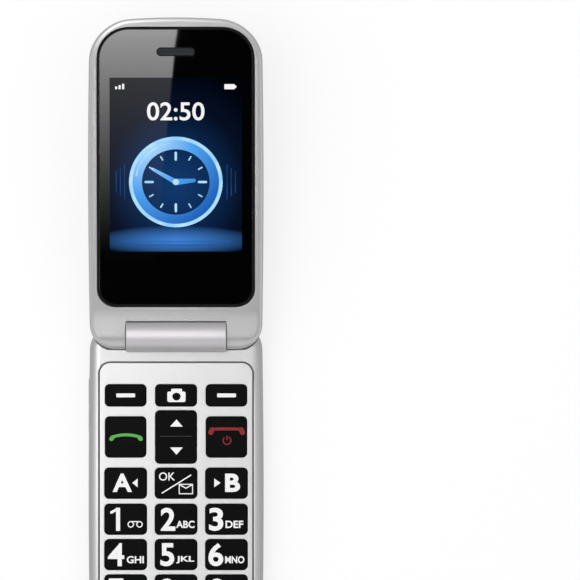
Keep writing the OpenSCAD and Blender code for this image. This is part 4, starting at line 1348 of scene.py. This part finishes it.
def volume_key():
    """Rocker on the side"""
    low, high = measure("volume_rocker", "base")
    face_z = (low.z + 0.2, ROCKER_SLOT[1] - 0.2)
    bar = block("volume_key", (low.x, low.y + ROCKER_LIP, face_z[0]),
                (-WIDTH / 2 + 2.1, high.y - ROCKER_LIP, face_z[1]))
    round_edges(bar, lambda edge: all(vertex.co.x < low.x + NEAR for vertex in edge.verts), 0.55, 5)
    middle = (low.y + high.y) / 2
    break_edges(bar, 0.06)
    carve(bar, block("waist", (low.x - 1, middle - 0.2, -5), (low.x + 0.2, middle + 0.2, 20)))
    flange = block("flange", (-WIDTH / 2 + 1.8, low.y, low.z), (-WIDTH / 2 + 2.1, high.y, ROCKER_SLOT[1]))
    pin = rod("pin", (-WIDTH / 2 + 1.95, middle, face_z[0]), (-WIDTH / 2 + 1.95, middle, high.z), 0.5, 24)
    bars = [block("mark", (low.x - 0.02, y - along, 7 - up), (low.x + 0.2, y + along, 7 + up))
            for y, along, up in ((middle + 5, 0.8, 0.12), (middle + 5, 0.12, 0.8), (middle - 5, 0.8, 0.12))]
    bar = paint(smooth(join("volume_key", [bar, flange, pin])), rim_paint)
    signs = paint(join("signs", bars), moulded_black)
    seat(join("volume_key", [bar, signs]), "base", "volume_rocker_body", "silver_paint", "volume_rocker")


def charging_socket():
    """Metal shell with its tongue"""
    low, high = measure("usb_socket", "base")
    middle_z = (low.z + high.z) / 2
    wall = 0.35

    def lengthways(edge):
        return abs(edge.verts[0].co.y - edge.verts[1].co.y) > 1

    shell = round_edges(block("charging_socket", low, high), lengthways, 0.7, 5)
    room = block("room", (low.x + wall, low.y - 1, low.z + wall),
                 (high.x - wall, high.y - 0.8, high.z - wall))
    carve(shell, round_edges(room, lengthways, 0.45, 5))
    paint(break_edges(shell, 0.08), plain_steel)
    tongue = block("tongue", (-2.2, low.y + 0.5, middle_z - 0.32), (2.2, high.y - 0.5, middle_z + 0.28))
    paint(break_edges(tongue, 0.08), moulded_black)
    strips = [block("strip", (x - 0.17, low.y + 0.6, middle_z - 0.36), (x + 0.17, high.y - 1, middle_z - 0.3))
              for x in (-1.4, -0.7, 0, 0.7, 1.4)]
    strips = paint(join("strips", strips), gold_flash)
    socket = join("charging_socket", [shell, tongue, strips])
    seat(socket, "base", "base", "steel", "usb_socket")


# ---- the inner parts, which keep their solids ----

INNER_FINISHES = {
    turned_steel: ["hinge_cartridge", "pivot_bush", "vibration_motor", "hinge_follower", "hinge_cam"],
    plain_steel: ["hinge_spring", "shield_cans", "card_holder", "dome_sheet", "lid_screws"],
    cast_grey: ["vibration_weight", "flip_magnet"],
    gold_flash: ["charge_contacts", "battery_contacts", "microphone"],
    moulded_black: ["earpiece_receiver", "camera_module", "loudspeaker"],
    solder_mask: ["lid_board", "main_board"],
    battery_sleeve: ["battery"],
    amber_film: ["hinge_flex"],
    silicone: ["keypad_mat"],
    panel_backlight: ["display_module"],
}


def inner_parts():
    """Finishes of the parts inside"""
    for maker, nodes in INNER_FINISHES.items():
        for node in nodes:
            obj = frame["nodes"][node]
            if not obj.material_slots:
                obj.data.materials.append(finish(maker))
            for slot in obj.material_slots:
                slot.material = finish(maker)


# ---- the stage ----

def floor_material(stage):
    """Floor that keeps shadows and looks white where nothing shades it."""
    floor = Finish("studio_floor", (0.3, 0.3, 0.3), 0.9, Specular_IOR_Level=0.1, Emission_Color=(1, 1, 1, 1))
    path = floor.node("LightPath").outputs
    seen = floor.math("MULTIPLY_ADD", path["Is Glossy Ray"], 0.35, path["Is Camera Ray"])
    seen = floor.math("MINIMUM", floor.math("ADD", seen, path["Is Transmission Ray"]), 1.0)
    return floor.drive("Emission Strength", floor.math("MULTIPLY", seen, stage.floor_lift)).material


def sky(stage):
    """Studio light all round, with a dark field high over the keys that gives the silver its depth."""
    world = bpy.data.worlds.new("studio_sky")
    bpy.context.scene.world = world
    tree = Tree(world)
    spot = tree.node("TexCoord").outputs["Generated"]
    across, depth, height = tree.node("SeparateXYZ", {"Vector": spot}).outputs

    def blend(first, second, share):
        return tree.math("MULTIPLY_ADD", share, tree.math("SUBTRACT", second, first), first)

    sides = blend(stage.horizon, stage.sides, tree.between(height, 0.05, 0.35))
    high_right = tree.math("MULTIPLY", tree.between(across, 0.08, 0.2), tree.between(height, 0.8, 0.92))
    sides = blend(sides, stage.right, high_right)
    front = blend(stage.sides, stage.front, tree.between(height, 0.0, 0.5))
    front = blend(stage.flag, front, tree.between(height, 0.84, 0.66))
    light = blend(sides, front, tree.between(depth, 0.0, -0.35))
    light = blend(light, stage.back, tree.between(depth, 0.0, 0.45))
    background = tree.graph.nodes["Background"].inputs
    tree.link(light, background["Strength"])
    background["Color"].default_value = (1, 1, 1, 1)


def glowing_card(name, wide, deep, location, tilt, rule):
    """A plane whose glow at (x, y) of its own frame is what the rule makes of the two."""
    deselect()
    bpy.ops.mesh.primitive_plane_add(size=1)
    card = bpy.context.object
    card.name = name
    card.scale = (wide, deep, 1)
    settle(card)
    card.location = location
    card.rotation_euler = (tilt, 0, 0)
    material = bpy.data.materials.new(name)
    tree = Tree(material)
    nodes = tree.graph.nodes
    nodes.remove(nodes["Principled BSDF"])
    spot = tree.node("SeparateXYZ", {"Vector": tree.node("TexCoord").outputs["Object"]}).outputs
    light = tree.node("Emission", {"Strength": rule(tree, spot["X"], spot["Y"])})
    tree.link(light.outputs[0], nodes["Material Output"].inputs["Surface"])
    card.visible_camera = False
    card.data.materials.append(material)
    return card


def softbox(stage):
    """A wide soft light up on the left, whose front edge slants away."""
    height = 0.75
    left, right = -0.85, -0.045
    front, back = -0.5, 0.85
    edge, slant = -0.24, 0.29
    middle = Vector(((left + right) / 2, (front + back) / 2, height))

    def fade(tree, value, start, end, rest):
        return tree.math("MULTIPLY_ADD", tree.between(value, start, end), 1 - rest, rest)

    def glow(tree, x, y):
        """Dark before the slanting edge; dimmer to the left, to the front and to the back."""
        start = edge - middle.y + slant * middle.x
        field = tree.between(tree.math("MULTIPLY_ADD", x, -slant, y), start, start + 0.02)
        for share in (fade(tree, x, -0.55 - middle.x, -0.2 - middle.x, 0.25),
                      fade(tree, y, -0.12 - middle.y, 0.08 - middle.y, 0.15),
                      fade(tree, y, 0.55 - middle.y, 0.12 - middle.y, 0.4)):
            field = tree.math("MULTIPLY", field, share)
        return tree.math("MULTIPLY_ADD", field, stage.softbox, stage.flag)

    glowing_card("softbox", right - left, back - front, middle, 0, glow)


def gloss_card(stage):
    """A card seen by gloss alone, hung so that its frame is the mirrored frame of the glass."""
    away = 0.5
    wide, deep = 0.056, 0.1
    slant, edge_x, blur = 0.0935, -0.0033, 0.0005
    dark_y, bright_y = -0.0292, 0.0409
    middle = HALVES["lid"] @ Vector((0, (glass_low.y + glass_high.y) / 2, glass_high.z))
    mirrored = Vector((0, -math.sin(2 * LID_TILT), math.cos(2 * LID_TILT)))
    upward = Vector((0, mirrored.z, -mirrored.y))
    reach = stage.camera_height - middle.z
    slip = (middle.x - stage.camera_x, middle.y - HINGE.y - stage.camera_y)
    growth = 1 + away / reach

    def glow(tree, x, y):
        edge = tree.math("SUBTRACT", tree.math("MULTIPLY_ADD", y, slant, edge_x), x)
        height = tree.between(y, dark_y, bright_y)
        field = tree.math("MULTIPLY", tree.math("MULTIPLY", height, height), tree.between(edge, 0.0, blur))
        return tree.math("MULTIPLY", field, stage.gloss)

    place = middle + (mirrored + upward * (slip[1] / reach)) * away + Vector((slip[0] / reach * away, 0, 0))
    card = glowing_card("gloss_card", wide, deep, place, 2 * LID_TILT, glow)
    card.scale = (growth, growth * math.cos(LID_TILT), 1)
    for way in ("diffuse", "transmission", "shadow", "volume_scatter"):
        setattr(card, f"visible_{way}", False)


def stage():
    """Floor, light and camera"""
    settings = bpy.context.scene.phone_stage
    deselect()
    bpy.ops.mesh.primitive_plane_add(size=12)
    floor = bpy.context.object
    floor.name = "studio_floor"
    floor.data.materials.append(floor_material(settings))
    sky(settings)
    softbox(settings)
    gloss_card(settings)
    place = (settings.camera_x, HINGE.y + settings.camera_y, settings.camera_height)
    bpy.ops.object.camera_add(location=place, rotation=(0, 0, 0))
    camera = bpy.context.object
    reach = settings.camera_height - base_high.z * MM
    camera.data.lens = camera.data.sensor_width * reach / settings.view_width
    camera.data.clip_end = 50
    bpy.context.scene.camera = camera
    bpy.context.scene.view_settings.view_transform = "Standard"


# ---- operators ----

def piece_operator(*makers):
    """An operator that calls the makers of a piece or of a group of like pieces."""
    def execute(_self, _context):
        for maker in makers:
            maker()
        return {"FINISHED"}

    name = makers[0].__name__
    return type(f"PHONE_OT_{name}", (bpy.types.Operator,),
                {"__doc__": makers[0].__doc__, "bl_idname": f"phone.{name}",
                 "bl_label": name.replace("_", " ").capitalize(), "bl_options": {"REGISTER", "UNDO"},
                 "execute": execute})


OPERATORS = [piece_operator(*makers) for makers in (
    [lid_shell], [accent_inlay], [camera_window], [status_lamps, lamp_signs], [lid_rim], [window_glass],
    [earpiece_trim], [screen_picture], [hinge_sleeve], [base_rim], [keypad_plate], [keys], [back_shell],
    [back_cover], [back_screws], [volume_key], [charging_socket], [inner_parts], [stage],
)]


GROUPS = {"phone_sizes": PhoneSizes, "phone_colours": PhoneColours, "phone_stage": PhoneStage}


class PHONE_PT_pieces(bpy.types.Panel):
    """Lists the pieces and their sizes and colours"""
    bl_idname = "PHONE_PT_pieces"
    bl_label = "Folding phone"
    bl_space_type = "VIEW_3D"
    bl_region_type = "UI"
    bl_category = "Phone"

    def draw(self, context):
        for name, kind in GROUPS.items():
            box = self.layout.box()
            for entry in kind.__annotations__:
                box.prop(getattr(context.scene, name), entry)
        for operator in OPERATORS:
            self.layout.operator(operator.bl_idname)


def register():
    for name, group in GROUPS.items():
        bpy.utils.register_class(group)
        setattr(bpy.types.Scene, name, bpy.props.PointerProperty(type=group))
    for kind in [*OPERATORS, PHONE_PT_pieces]:
        bpy.utils.register_class(kind)


def unregister():
    for kind in reversed([*OPERATORS, PHONE_PT_pieces]):
        bpy.utils.unregister_class(kind)
    for name, group in GROUPS.items():
        delattr(bpy.types.Scene, name)
        bpy.utils.unregister_class(group)


def main():
    register()
    for operator in OPERATORS:
        getattr(bpy.ops.phone, operator.bl_idname.split(".")[1])()


if __name__ == "__main__":
    main()
